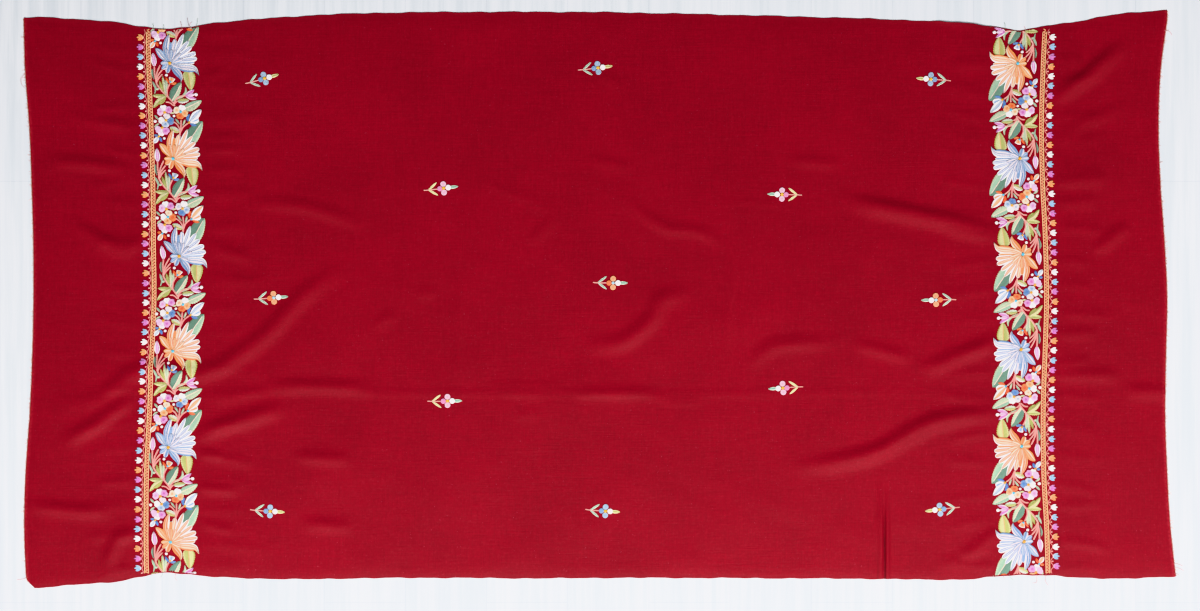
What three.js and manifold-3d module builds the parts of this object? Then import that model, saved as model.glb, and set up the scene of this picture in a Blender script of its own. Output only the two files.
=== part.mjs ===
// Embroidered wool shawl, lying flat. Millimetres, +X along its length, +Z up. It lies on the surface z = 0.
import * as THREE from "three";
import { mergeVertices } from "three/addons/utils/BufferGeometryUtils.js";
import Module from "manifold-3d";

const wasm = await Module();
wasm.setup();

// ---- Sizes ----
const CUT_LENGTH = 2000; // between the two cut ends
const CUT_WIDTH = 1000; // between the two woven edges
const CLOTH_WALL = 1.2;
const STITCH_WALL = 0.8; // how far the embroidery stands up
const GAP = 0.3; // between a piece and what it lies on or meets
const FRINGE_REACH = 3; // how far the ravelled ends stick out
const FRINGE_WALL = 1.0;

const COLUMNS = 20; // cells along the length, before any is halved
const ROWS = 10; // cells across the width, before any is halved
const FORM_TOLERANCE = 1.9; // how far a flat facet may stay from the cloth's form
const SMALLEST_EDGE = 20; // edges this short are not halved again

// ---- How the cloth lies ----

// The four lines that cross the shawl: where each is on the cut cloth, and where it lies on average.
const CROSS_LINES = [
  { line: "leftEnd", cutX: -1000, lieX: -998 },
  { line: "leftBand", cutX: -787, lieX: -787 },
  { line: "rightBand", cutX: 777, lieX: 777 },
  { line: "rightEnd", cutX: 1000, lieX: 989 },
];

// How far each of those lines wavers along X, down the shawl's width.
const WAVER = [
  { y: 490, leftEnd: -9, leftBand: -5, rightBand: 1, rightEnd: 3 },
  { y: 400, leftEnd: -7, leftBand: -3, rightBand: -3, rightEnd: -9 },
  { y: 300, leftEnd: 2, leftBand: 2, rightBand: -5, rightEnd: -12 },
  { y: 200, leftEnd: 8, leftBand: 5, rightBand: -3, rightEnd: -7 },
  { y: 100, leftEnd: 8, leftBand: 6, rightBand: 2, rightEnd: 1 },
  { y: 0, leftEnd: 7, leftBand: 7, rightBand: 4, rightEnd: 2 },
  { y: -100, leftEnd: 4, leftBand: 3, rightBand: 1, rightEnd: -1 },
  { y: -200, leftEnd: 0, leftBand: -1, rightBand: -2, rightEnd: 1 },
  { y: -300, leftEnd: -4, leftBand: -6, rightBand: -1, rightEnd: 3 },
  { y: -400, leftEnd: -7, leftBand: -7, rightBand: 4, rightEnd: 10 },
  { y: -490, leftEnd: -5, leftBand: -6, rightBand: 7, rightEnd: 18 },
];

// Where the two woven edges lie, along the length. Both are drawn in at the embroidered bands.
const WOVEN_EDGES = [
  { x: -1003, top: 491, bottom: -506 },
  { x: -970, top: 492, bottom: -503 },
  { x: -900, top: 487, bottom: -497 },
  { x: -840, top: 481, bottom: -492 },
  { x: -800, top: 474, bottom: -485 },
  { x: -760, top: 472, bottom: -480 },
  { x: -715, top: 474, bottom: -483 },
  { x: -680, top: 480, bottom: -486 },
  { x: -525, top: 492, bottom: -487 },
  { x: -300, top: 498, bottom: -488 },
  { x: -100, top: 501, bottom: -489 },
  { x: 40, top: 501, bottom: -489 },
  { x: 440, top: 491, bottom: -490 },
  { x: 630, top: 482, bottom: -491 },
  { x: 690, top: 474, bottom: -485 },
  { x: 735, top: 470, bottom: -483 },
  { x: 785, top: 479, bottom: -485 },
  { x: 830, top: 485, bottom: -489 },
  { x: 910, top: 498, bottom: -490 },
  { x: 1005, top: 505, bottom: -487 },
];

// The folds that stand up from the surface. A fold's height tapers to nothing at both ends of its spine;
// its steep side is on the left as the spine runs, its gentle side on the right.
const FOLDS = [
  // the left end, outside its band
  { height: 4, steep: 16, gentle: 26, spine: [[-975, 241], [-890, 237], [-806, 221]] },
  { height: 3, steep: 14, gentle: 22, spine: [[-940, 318], [-815, 299]] },
  { height: 3.5, steep: 16, gentle: 24, spine: [[-935, 134], [-845, 82], [-790, 95]] },
  { height: 6, steep: 18, gentle: 30, spine: [[-945, -258], [-880, -222], [-806, -168]] },
  { height: 7, steep: 18, gentle: 32, spine: [[-1010, -362], [-930, -371], [-846, -376]] },
  { height: 5, steep: 16, gentle: 26, spine: [[-866, -485], [-845, -424], [-800, -408]] },
  // from the left end across the band into the field
  {
    height: 9,
    steep: 20,
    gentle: 36,
    spine: [[-1010, -186], [-890, -181], [-803, -124], [-690, -129], [-588, -66], [-525, 3], [-440, 36]],
  },
  // the field beside the left band
  { height: 7, steep: 18, gentle: 32, spine: [[-716, -246], [-630, -213], [-545, -190]] },
  { height: 5, steep: 16, gentle: 30, spine: [[-598, -155], [-490, -152], [-385, -159]] },
  { height: 5, steep: 16, gentle: 30, spine: [[-635, 166], [-546, 165], [-470, 148], [-405, 121]] },
  { height: 4, steep: 14, gentle: 24, spine: [[-702, 106], [-605, 66]] },
  { height: 3, steep: 14, gentle: 24, spine: [[-540, -277], [-430, -282]] },
  { height: 3, steep: 14, gentle: 24, spine: [[-525, -396], [-430, -403]] },
  // the middle
  { height: 4, steep: 18, gentle: 30, spine: [[25, 184], [110, 126], [170, 118], [232, 88]] },
  { height: 7, steep: 18, gentle: 32, spine: [[-42, -84], [37, -76], [90, -37], [112, 1], [180, 9]] },
  { height: 3.5, steep: 14, gentle: 26, spine: [[-55, -166], [100, -165]] },
  { height: 3, steep: 14, gentle: 24, spine: [[-220, 211], [-60, 144]] },
  // the field beside the right band
  { height: 9, steep: 20, gentle: 36, spine: [[415, 176], [560, 148], [720, 112]] },
  { height: 6, steep: 18, gentle: 30, spine: [[265, -126], [306, -84], [435, -76]] },
  { height: 6, steep: 16, gentle: 28, spine: [[440, -78], [550, -106]] },
  { height: 6, steep: 18, gentle: 32, spine: [[555, -124], [630, -96], [705, -62]] },
  { height: 10, steep: 20, gentle: 38, spine: [[318, -300], [472, -270], [588, -213], [735, -196]] },
  { height: 3, steep: 14, gentle: 24, spine: [[325, 240], [425, 235]] },
  { height: 4, steep: 16, gentle: 26, spine: [[628, -466], [705, -408]] },
  // the right end, outside its band
  { height: 8, steep: 20, gentle: 32, spine: [[780, 348], [850, 402], [915, 460]] },
  { height: 5, steep: 16, gentle: 28, spine: [[782, 272], [860, 312], [925, 338]] },
  { height: 4, steep: 14, gentle: 26, spine: [[785, 196], [895, 203]] },
  { height: 4, steep: 14, gentle: 26, spine: [[862, 84], [925, 137]] },
  { height: 4, steep: 14, gentle: 26, spine: [[785, -129], [915, -129]] },
  { height: 4, steep: 14, gentle: 26, spine: [[915, -162], [1000, -162]] },
];
const SPINE_STEPS = 24; // straight stretches along each smoothed spine
const FOLD_TAPER = 0.35; // share of the spine over which a fold rises or sinks

// The cut corner that is turned in at the left end, on the bottom edge.
const TURNED_CORNER = { x: -1003, y: -506, reach: 26, inX: 12, inY: 4 };

// ---- The embroidery ----

const BAND_TOP = 471; // y of the band's ends, just inside the woven edges
const BAND_BOTTOM = -480;
const UNIT_PITCH = 167.3; // from one big flower to the next
const FIRST_FLOWER = 410.5; // y of the topmost big flower in each band
const UNITS = 6;
const BRAID_HALF_WIDTH = 4.8;
const BAND_INNER_START = 5.2; // from the middle of the braid
const BUD_PITCH = 17.2;
const FIRST_BUD = 457; // y of the topmost whole bud in each band
const BUD_TIP = 24; // reach of a bud from the middle of the braid
const BUD_VALLEY = 15; // reach between two buds

// The flower band's reach from the middle of the braid, over one repeat. s runs from the big flower
// towards the next one, the way the stems grow.
const BAND_REACH = [
  { s: -65, reach: 94 }, // two-coloured leaf tip
  { s: -52, reach: 91 },
  { s: -31, reach: 84 },
  { s: -21, reach: 84 }, // fan of petals
  { s: -7, reach: 86 },
  { s: 8, reach: 80 },
  { s: 21, reach: 88 }, // long lower petal
  { s: 32, reach: 79 },
  { s: 47, reach: 79 },
  { s: 56, reach: 84 }, // tulip
  { s: 67, reach: 92 }, // leaf
  { s: 82, reach: 89 }, // bell flower
  { s: 94, reach: 83 },
];

// Where each sprig's flower sits, the way the sprig points (degrees from +X) and its flower's colour.
const SPRIGS = [
  { x: -587, y: 385, heading: 15, colour: "blue" },
  { x: -4, y: 404, heading: 7, colour: "blue" },
  { x: 580, y: 384, heading: 176, colour: "blue" },
  { x: -274, y: 193, heading: 7, colour: "pink" },
  { x: 318, y: 183, heading: 178, colour: "pink" },
  { x: -572, y: 1, heading: 4, colour: "orange" },
  { x: 22, y: 27, heading: 0, colour: "orange" },
  { x: 589, y: -2, heading: 180, colour: "orange" },
  { x: -267, y: -180, heading: 1, colour: "pink" },
  { x: 321, y: -156, heading: 183, colour: "pink" },
  { x: -577, y: -373, heading: -3, colour: "blue" },
  { x: 9, y: -373, heading: -3, colour: "blue" },
  { x: 596, y: -368, heading: 187, colour: "blue" },
];
// A sprig's own sizes, from the middle of its flower, along it and across it.
const STEM_END = -34;
const STEM_HALF_WIDTH = 0.9;
const LEAF_BASE = -25;
const LEAF_TIP = { along: -10.5, across: 9.5 };
const LEAF_HALF_WIDTH = 2.2;
const TIP_LEAF = { from: 11, to: 26, halfWidth: 3.2 };
const HEART_RADIUS = 5;
const PETAL_RADIUS = 5.2;
const PETAL_SIDES = 6;
const PETALS = [
  { along: -6.6, across: 0 },
  { along: 0, across: 7.3 },
  { along: 0, across: -7.3 },
  { along: 8.2, across: 0 },
];

const CUTTER_TOP = 60; // the outlines are cut through all heights up to this

// ---- Colours ----
const FINISHES = {
  wool: { color: 0x96031c, roughness: 0.85 },
  frayedWool: { color: 0xb0304a, roughness: 0.95 },
  flowers: { color: 0xd8b08c, roughness: 0.6 },
  braid: { color: 0xe89a5c, roughness: 0.6 },
  buds: { color: 0xdf9aa8, roughness: 0.6 },
  blue: { color: 0x82a8dc, roughness: 0.6 },
  pink: { color: 0xeaa8d8, roughness: 0.6 },
  orange: { color: 0xf5a566, roughness: 0.6 },
};

// ---- Reading the tables ----

// A column of a table at a place between its rows, as a smooth curve. The rows run in order of keyName.
function alongTable(table, keyName, column, at) {
  const rising = table[table.length - 1][keyName] > table[0][keyName];
  const rows = rising ? table : [...table].reverse();
  const last = rows.length - 1;
  if (at <= rows[0][keyName]) return rows[0][column];
  if (at >= rows[last][keyName]) return rows[last][column];
  const i = rows.findIndex((row, n) => n < last && at < rows[n + 1][keyName]);
  const [from, to] = [rows[i], rows[i + 1]];
  const [before, after] = [rows[Math.max(i - 1, 0)], rows[Math.min(i + 2, last)]];
  const span = to[keyName] - from[keyName];
  const t = (at - from[keyName]) / span;
  const slopeFrom = (to[column] - before[column]) / (to[keyName] - before[keyName]);
  const slopeTo = (after[column] - from[column]) / (after[keyName] - from[keyName]);
  return (
    from[column] * (2 * t ** 3 - 3 * t ** 2 + 1) +
    to[column] * (3 * t ** 2 - 2 * t ** 3) +
    span * slopeFrom * (t ** 3 - 2 * t ** 2 + t) +
    span * slopeTo * (t ** 3 - t ** 2)
  );
}

const smooth = (t) => {
  const held = Math.min(Math.max(t, 0), 1);
  return held * held * (3 - 2 * held);
};

// ---- The cloth's form ----

// Where one of the lines across the shawl lies, at a distance down its width.
function lineX(row, y) {
  return row.lieX + alongTable(WAVER, "y", row.line, y);
}

const spines = FOLDS.map((fold) => {
  const points = fold.spine.map(([x, y]) => new THREE.Vector2(x, y));
  return new THREE.SplineCurve(points).getPoints(SPINE_STEPS);
});

// The height of one fold over a point of the surface.
function foldHeight(fold, spine, x, y) {
  let nearest = { distance: Infinity, share: 0, side: 1 };
  for (let i = 0; i < SPINE_STEPS; i++) {
    const [a, b] = [spine[i], spine[i + 1]];
    const [runX, runY] = [b.x - a.x, b.y - a.y];
    const along = ((x - a.x) * runX + (y - a.y) * runY) / (runX * runX + runY * runY);
    const t = THREE.MathUtils.clamp(along, 0, 1);
    const [awayX, awayY] = [x - a.x - t * runX, y - a.y - t * runY];
    const distance = Math.hypot(awayX, awayY);
    if (distance < nearest.distance) {
      nearest = { distance, share: (i + t) / SPINE_STEPS, side: runX * awayY - runY * awayX };
    }
  }
  const reach = nearest.side > 0 ? fold.steep : fold.gentle;
  if (nearest.distance >= reach) return 0;
  const taper = smooth(nearest.share / FOLD_TAPER) * smooth((1 - nearest.share) / FOLD_TAPER);
  return fold.height * taper * Math.cos((Math.PI / 2) * (nearest.distance / reach)) ** 2;
}

// The underside of the cloth: 0 where it rests.
function formHeight(x, y) {
  return FOLDS.reduce((sum, fold, i) => sum + foldHeight(fold, spines[i], x, y), 0);
}

// Where a point of the cut cloth lies.
function lie(cutX, cutY) {
  const top = alongTable(WOVEN_EDGES, "x", "top", cutX);
  const bottom = alongTable(WOVEN_EDGES, "x", "bottom", cutX);
  let y = THREE.MathUtils.lerp(bottom, top, cutY / CUT_WIDTH + 0.5);
  const i = Math.min(
    CROSS_LINES.findIndex((row, n) => n === CROSS_LINES.length - 1 || cutX < CROSS_LINES[n + 1].cutX),
    CROSS_LINES.length - 2,
  );
  const [from, to] = [CROSS_LINES[i], CROSS_LINES[i + 1]];
  let x = THREE.MathUtils.lerp(lineX(from, y), lineX(to, y), (cutX - from.cutX) / (to.cutX - from.cutX));
  const turned = smooth(1 - Math.hypot(x - TURNED_CORNER.x, y - TURNED_CORNER.y) / TURNED_CORNER.reach);
  x += TURNED_CORNER.inX * turned;
  y += TURNED_CORNER.inY * turned;
  return new THREE.Vector3(x, y, formHeight(x, y));
}

// ---- Facets over the form ----

const edgeKey = (a, b) => (a < b ? `${a},${b}` : `${b},${a}`);

// Shares of a triangle's corners at which its facet is compared with the form.
const TEST_SHARES = [
  [1 / 2, 1 / 2, 0],
  [0, 1 / 2, 1 / 2],
  [1 / 2, 0, 1 / 2],
  [1 / 3, 1 / 3, 1 / 3],
  [3 / 4, 1 / 4, 0],
  [1 / 4, 3 / 4, 0],
  [3 / 5, 1 / 5, 1 / 5],
  [1 / 5, 3 / 5, 1 / 5],
  [1 / 5, 1 / 5, 3 / 5],
];

// Triangles over the whole cloth, seen from above anticlockwise. Each is [a, b, tip], where a-b is the edge
// that is halved next; halving goes on until every flat facet follows the form.
function clothFacets() {
  const cut = [];
  const places = [];
  const addPoint = (cutX, cutY) => {
    cut.push([cutX, cutY]);
    places.push(lie(cutX, cutY));
    return cut.length - 1;
  };
  for (let i = 0; i <= COLUMNS; i++) {
    for (let j = 0; j <= ROWS; j++) {
      addPoint((i / COLUMNS - 0.5) * CUT_LENGTH, (j / ROWS - 0.5) * CUT_WIDTH);
    }
  }
  const corner = (i, j) => i * (ROWS + 1) + j;
  let triangles = [];
  for (let i = 0; i < COLUMNS; i++) {
    for (let j = 0; j < ROWS; j++) {
      const [p, q, r, s] = [corner(i, j), corner(i + 1, j), corner(i + 1, j + 1), corner(i, j + 1)];
      if ((i + j) % 2) triangles.push([r, p, q], [p, r, s]);
      else triangles.push([s, q, r], [q, s, p]);
    }
  }

  const offForm = (corners) => {
    if (places[corners[0]].distanceTo(places[corners[1]]) < SMALLEST_EDGE) return false;
    return TEST_SHARES.some((shares) => {
      const cutPoint = [0, 0];
      const onFacet = new THREE.Vector3();
      corners.forEach((corner, n) => {
        cutPoint[0] += shares[n] * cut[corner][0];
        cutPoint[1] += shares[n] * cut[corner][1];
        onFacet.addScaledVector(places[corner], shares[n]);
      });
      return lie(...cutPoint).distanceTo(onFacet) > FORM_TOLERANCE;
    });
  };

  const settled = new Set();
  for (;;) {
    const marked = new Set();
    for (const triangle of triangles) {
      const name = triangle.join();
      if (settled.has(name)) continue;
      if (offForm(triangle)) marked.add(edgeKey(triangle[0], triangle[1]));
      else settled.add(name);
    }
    if (!marked.size) break;
    for (let grown = true; grown; ) {
      grown = false;
      for (const [a, b, tip] of triangles) {
        if (marked.has(edgeKey(a, b))) continue;
        if (marked.has(edgeKey(b, tip)) || marked.has(edgeKey(tip, a))) {
          marked.add(edgeKey(a, b));
          grown = true;
        }
      }
    }
    const middles = new Map();
    const middle = (a, b) => {
      const name = edgeKey(a, b);
      if (!middles.has(name)) {
        middles.set(name, addPoint((cut[a][0] + cut[b][0]) / 2, (cut[a][1] + cut[b][1]) / 2));
      }
      return middles.get(name);
    };
    const halved = [];
    const divide = (triangle) => {
      const [a, b, tip] = triangle;
      if (!marked.has(edgeKey(a, b))) {
        halved.push(triangle);
        return;
      }
      const m = middle(a, b);
      divide([tip, a, m]);
      divide([b, tip, m]);
    };
    triangles.forEach(divide);
    triangles = halved;
  }
  return { places, triangles };
}

// The edges of the facets that have a facet on one side only, as [a, b] pairs with the cloth on their left.
function rimEdges(triangles) {
  const edges = new Map();
  for (const [a, b, c] of triangles) {
    for (const [from, to] of [[a, b], [b, c], [c, a]]) {
      const name = edgeKey(from, to);
      if (edges.has(name)) edges.delete(name);
      else edges.set(name, [from, to]);
    }
  }
  return [...edges.values()];
}

// A closed sheet over the facets, between two heights above their points.
function sheetOver({ places, triangles }, low, high) {
  const count = places.length;
  const positions = [];
  for (const lift of [low, high]) {
    for (const place of places) positions.push(place.x, place.y, place.z + lift);
  }
  const index = [];
  for (const [a, b, c] of triangles) {
    index.push(a + count, b + count, c + count);
    index.push(c, b, a);
  }
  for (const [a, b] of rimEdges(triangles)) {
    index.push(a, b, b + count);
    index.push(a, b + count, a + count);
  }
  const geometry = new THREE.BufferGeometry();
  geometry.setAttribute("position", new THREE.Float32BufferAttribute(positions, 3));
  geometry.setIndex(index);
  return geometry;
}

// ---- Cutting outlines out of a sheet ----

function solidFrom(geometry) {
  const bare = geometry.clone();
  bare.deleteAttribute("normal");
  bare.deleteAttribute("uv");
  const merged = mergeVertices(bare, 1e-3);
  return new wasm.Manifold(
    new wasm.Mesh({
      numProp: 3,
      vertProperties: merged.attributes.position.array,
      triVerts: new Uint32Array(merged.index.array),
    }),
  );
}

function geometryFrom(solid) {
  const mesh = solid.getMesh();
  const geometry = new THREE.BufferGeometry();
  geometry.setAttribute("position", new THREE.Float32BufferAttribute(mesh.vertProperties, 3));
  geometry.setIndex(new THREE.Uint32BufferAttribute(mesh.triVerts, 1));
  return geometry;
}

// A prism through all heights over a closed outline of [x, y] points.
function prism(outline) {
  const shape = new THREE.Shape(outline.map(([x, y]) => new THREE.Vector2(x, y)));
  const geometry = new THREE.ExtrudeGeometry(shape, { depth: CUTTER_TOP, bevelEnabled: false });
  return solidFrom(geometry);
}

// ---- Outlines ----

// The two bands are one pattern; the right one is the left one turned half round. inward is +1 or -1 along X.
const BANDS = [
  { side: "left", line: CROSS_LINES[1], inward: 1 },
  { side: "right", line: CROSS_LINES[2], inward: -1 },
];

// A point of a band, at a height y down it and a distance in from the middle of its braid.
function bandPoint(band, y, distance) {
  return [lineX(band.line, y) + band.inward * distance, y];
}

// A strip of a band between two distances from the braid, with its far side given at chosen heights.
function bandStrip(band, nearDistance, farSide) {
  const far = farSide.map(({ y, distance }) => bandPoint(band, y, distance));
  const near = WAVER.map(({ y }) => THREE.MathUtils.clamp(y, BAND_BOTTOM, BAND_TOP)).map((y) =>
    bandPoint(band, y, nearDistance),
  );
  return [...near, ...far.reverse()];
}

function flowerBandOutline(band) {
  const down = -band.inward; // the left band's stems grow down the cloth, the right band's up
  const farSide = [];
  for (let unit = -1; unit <= UNITS; unit++) {
    for (const { s, reach } of BAND_REACH) {
      const y = FIRST_FLOWER - unit * UNIT_PITCH + down * s;
      if (y < BAND_TOP && y > BAND_BOTTOM) farSide.push({ y, distance: reach });
    }
  }
  farSide.sort((a, b) => b.y - a.y);
  farSide.unshift({ y: BAND_TOP, distance: farSide[0].distance });
  farSide.push({ y: BAND_BOTTOM, distance: farSide[farSide.length - 1].distance });
  return bandStrip(band, BAND_INNER_START, farSide);
}

function braidOutline(band) {
  const farSide = WAVER.map(({ y }) => ({
    y: THREE.MathUtils.clamp(y, BAND_BOTTOM, BAND_TOP),
    distance: BRAID_HALF_WIDTH,
  }));
  return bandStrip(band, -BRAID_HALF_WIDTH, farSide);
}

function budRowOutline(band) {
  const farSide = [{ y: BAND_TOP, distance: -BUD_VALLEY }];
  for (let y = FIRST_BUD; y > BAND_BOTTOM; y -= BUD_PITCH) {
    farSide.push({ y, distance: -BUD_TIP });
    farSide.push({ y: Math.max(y - BUD_PITCH / 2, BAND_BOTTOM), distance: -BUD_VALLEY });
  }
  farSide[farSide.length - 1].y = BAND_BOTTOM;
  return bandStrip(band, -BAND_INNER_START, farSide);
}

// A closed leaf of four points between two points, widest in its middle.
function leafOutline(from, to, halfWidth) {
  const [runX, runY] = [to[0] - from[0], to[1] - from[1]];
  const length = Math.hypot(runX, runY);
  const side = [(-runY / length) * halfWidth, (runX / length) * halfWidth];
  const at = (share, across) => [
    from[0] + share * runX + across * side[0],
    from[1] + share * runY + across * side[1],
  ];
  return [at(0, 0), at(0.5, -1), at(1, 0), at(0.5, 1)];
}

function roundOutline(centre, radius, sides) {
  return Array.from({ length: sides }, (_, n) => {
    const turn = ((n + 0.5) / sides) * 2 * Math.PI;
    return [centre[0] + radius * Math.cos(turn), centre[1] + radius * Math.sin(turn)];
  });
}

// The outlines that overlap to make one sprig, in its own frame.
function sprigOutlines() {
  const base = [LEAF_BASE, 0];
  return [
    [
      [STEM_END, -STEM_HALF_WIDTH],
      [0, -STEM_HALF_WIDTH],
      [0, STEM_HALF_WIDTH],
      [STEM_END, STEM_HALF_WIDTH],
    ],
    leafOutline(base, [LEAF_TIP.along, LEAF_TIP.across], LEAF_HALF_WIDTH),
    leafOutline(base, [LEAF_TIP.along, -LEAF_TIP.across], LEAF_HALF_WIDTH),
    leafOutline([TIP_LEAF.from, 0], [TIP_LEAF.to, 0], TIP_LEAF.halfWidth),
    roundOutline([0, 0], HEART_RADIUS, PETAL_SIDES),
    ...PETALS.map(({ along, across }) => roundOutline([along, across], PETAL_RADIUS, PETAL_SIDES)),
  ];
}

// ---- The pieces ----

const facets = clothFacets();
const stitchLayer = solidFrom(sheetOver(facets, CLOTH_WALL + GAP, CLOTH_WALL + GAP + STITCH_WALL));

const shawl = new THREE.Group();

function addPiece(name, geometry, finish) {
  const material = new THREE.MeshStandardMaterial({ ...FINISHES[finish], metalness: 0 });
  const mesh = new THREE.Mesh(geometry, material);
  mesh.name = name;
  shawl.add(mesh);
}

// The ravelled ends, along one cut end of the cloth: a thin strip that follows the cloth's own rim.
function fringeGeometry(outward) {
  const { places, triangles } = facets;
  const atEnd = (place) => Math.abs(place.x - lineX(CROSS_LINES[outward > 0 ? 3 : 0], place.y)) < 1e-6;
  const rim = rimEdges(triangles)
    .map(([a]) => places[a])
    .filter(atEnd)
    .sort((a, b) => a.y - b.y);
  const positions = [];
  const low = (CLOTH_WALL - FRINGE_WALL) / 2;
  for (const { x, y, z } of rim) {
    const [inner, outer] = [x + outward * GAP, x + outward * (GAP + FRINGE_REACH)];
    positions.push(inner, y, z + low);
    positions.push(outer, y, z + low);
    positions.push(outer, y, z + low + FRINGE_WALL);
    positions.push(inner, y, z + low + FRINGE_WALL);
  }
  const index = [];
  const quad = (a, b, c, d) => index.push(a, b, c, a, c, d);
  const last = (rim.length - 1) * 4;
  for (let ring = 0; ring < last; ring += 4) {
    for (let n = 0; n < 4; n++) {
      const next = (n + 1) % 4;
      quad(ring + n, ring + 4 + n, ring + 4 + next, ring + next);
    }
  }
  quad(0, 1, 2, 3);
  quad(last + 3, last + 2, last + 1, last);
  if (outward < 0) index.reverse();
  const geometry = new THREE.BufferGeometry();
  geometry.setAttribute("position", new THREE.Float32BufferAttribute(positions, 3));
  geometry.setIndex(index);
  return geometry;
}

addPiece("shawl_cloth", sheetOver(facets, 0, CLOTH_WALL), "wool");
addPiece("end_fringe_left", fringeGeometry(-1), "frayedWool");
addPiece("end_fringe_right", fringeGeometry(1), "frayedWool");

for (const band of BANDS) {
  const cutOut = (outline) => geometryFrom(stitchLayer.intersect(prism(outline)));
  addPiece(`flower_band_${band.side}`, cutOut(flowerBandOutline(band)), "flowers");
  addPiece(`guard_braid_${band.side}`, cutOut(braidOutline(band)), "braid");
  addPiece(`bud_row_${band.side}`, cutOut(budRowOutline(band)), "buds");
}

SPRIGS.forEach(({ x, y, heading, colour }, n) => {
  const turn = THREE.MathUtils.degToRad(heading);
  const place = ([along, across]) => [
    x + along * Math.cos(turn) - across * Math.sin(turn),
    y + along * Math.sin(turn) + across * Math.cos(turn),
  ];
  const prisms = sprigOutlines().map((outline) => prism(outline.map(place)));
  const whole = prisms.reduce((joined, one) => joined.add(one));
  const number = String(n + 1).padStart(2, "0");
  addPiece(`sprig_${number}`, geometryFrom(stitchLayer.intersect(whole)), colour);
});

export default shawl;
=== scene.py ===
import math

import bpy
import numpy as np
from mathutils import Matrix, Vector
from mathutils.bvhtree import BVHTree


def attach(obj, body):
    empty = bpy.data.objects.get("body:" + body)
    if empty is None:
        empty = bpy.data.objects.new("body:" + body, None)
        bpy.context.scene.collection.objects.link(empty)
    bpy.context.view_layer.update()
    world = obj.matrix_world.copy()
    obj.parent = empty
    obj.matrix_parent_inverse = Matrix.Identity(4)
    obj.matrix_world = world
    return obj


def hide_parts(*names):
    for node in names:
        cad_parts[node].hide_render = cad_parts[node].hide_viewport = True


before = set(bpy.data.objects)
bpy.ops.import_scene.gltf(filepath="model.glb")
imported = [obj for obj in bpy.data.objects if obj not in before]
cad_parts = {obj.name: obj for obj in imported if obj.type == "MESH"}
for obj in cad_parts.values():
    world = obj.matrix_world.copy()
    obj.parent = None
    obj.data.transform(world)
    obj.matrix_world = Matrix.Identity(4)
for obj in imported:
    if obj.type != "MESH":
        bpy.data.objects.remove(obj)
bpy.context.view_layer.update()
MM = 0.001
scene = bpy.context.scene
rng = np.random.default_rng(1852)

# ---- Camera ----

FRAME_WIDTH = 2.10  # metres of floor across the picture
FRAME_MIDDLE_Y = -0.01225
LENS = 50.0
SENSOR = 36.0

camera_data = bpy.data.cameras.new("camera")
camera_data.lens = LENS
camera_data.sensor_width = SENSOR
camera = bpy.data.objects.new("camera", camera_data)
camera.location = (0.0, FRAME_MIDDLE_Y, FRAME_WIDTH * LENS / SENSOR)
camera_data.clip_end = 50.0
scene.collection.objects.link(camera)
scene.camera = camera

# ---- Sizes ----

CUT_LENGTH = 2000.0
CUT_WIDTH = 1000.0
CLOTH_WALL = 1.2
RIM_WALL = 0.4  # the cloth thins to this at its edges
THINNED = 16  # within this distance of them
ROWS = 144  # cells across the width
RIM_CELL = 1.0  # the narrow cells along all four edges

# How far along the length each width of cell goes: finer over the bands and at the narrow tuck.
CELLS = [
    (-880, 7), (-640, 5), (476, 7), (490, 2.8), (504, 1.4), (508, 2), (640, 7), (880, 5), (1000, 7),
]

# ---- How the cloth lies ----


def table(names, *rows):
    """Rows of numbers as named columns."""
    return dict(zip(names.split(), np.array(rows, float).T))


# The four lines that cross the shawl: where each is on the cut cloth, and where it lies on average.
CROSS_LINES = [
    {"line": "leftEnd", "cutX": -1000, "lieX": -998},
    {"line": "leftBand", "cutX": -787, "lieX": -787},
    {"line": "rightBand", "cutX": 777, "lieX": 777},
    {"line": "rightEnd", "cutX": 1000, "lieX": 989},
]

# How far each of those lines wavers along X, down the shawl's width.
WAVER = table(
    "y leftEnd leftBand rightBand rightEnd",
    (490, -10, -3.6, 2.2, 3.4),
    (400, -7.6, -2, -2.3, -8.2),
    (300, 0, 2, -5, -12),
    (200, 4, 5, -3, -8.6),
    (100, 6.8, 6, 2, -1.6),
    (0, 7.2, 7, 4, 3.2),
    (-100, 5, 3, 1, 1),
    (-200, 0.6, -1, -2, -0.4),
    (-300, -6.4, -6, -1, 3),
    (-400, -9.2, -7, 4, 8.8),
    (-490, -5.8, -6, 7, 18.6),
)

# Where the two woven edges lie, along the length. Both are drawn in at the embroidered bands.
WOVEN_EDGES = table(
    "x top bottom",
    (-1003, 491.5, -509),
    (-970, 493, -506.5),
    (-900, 487.5, -499.5),
    (-840, 483.5, -496),
    (-800, 476.5, -488),
    (-760, 472, -480),
    (-715, 475, -482.5),
    (-680, 481.5, -487),
    (-525, 494, -491.5),
    (-430, 498.5, -490),
    (-300, 501, -489),
    (-100, 501.5, -490),
    (40, 500.4, -489),
    (440, 490.6, -490.5),
    (630, 482.5, -492),
    (690, 476, -486.5),
    (735, 469.5, -484),
    (785, 478.4, -485),
    (830, 484, -489),
    (910, 497.5, -490),
    (1005, 505.5, -487),
)

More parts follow.
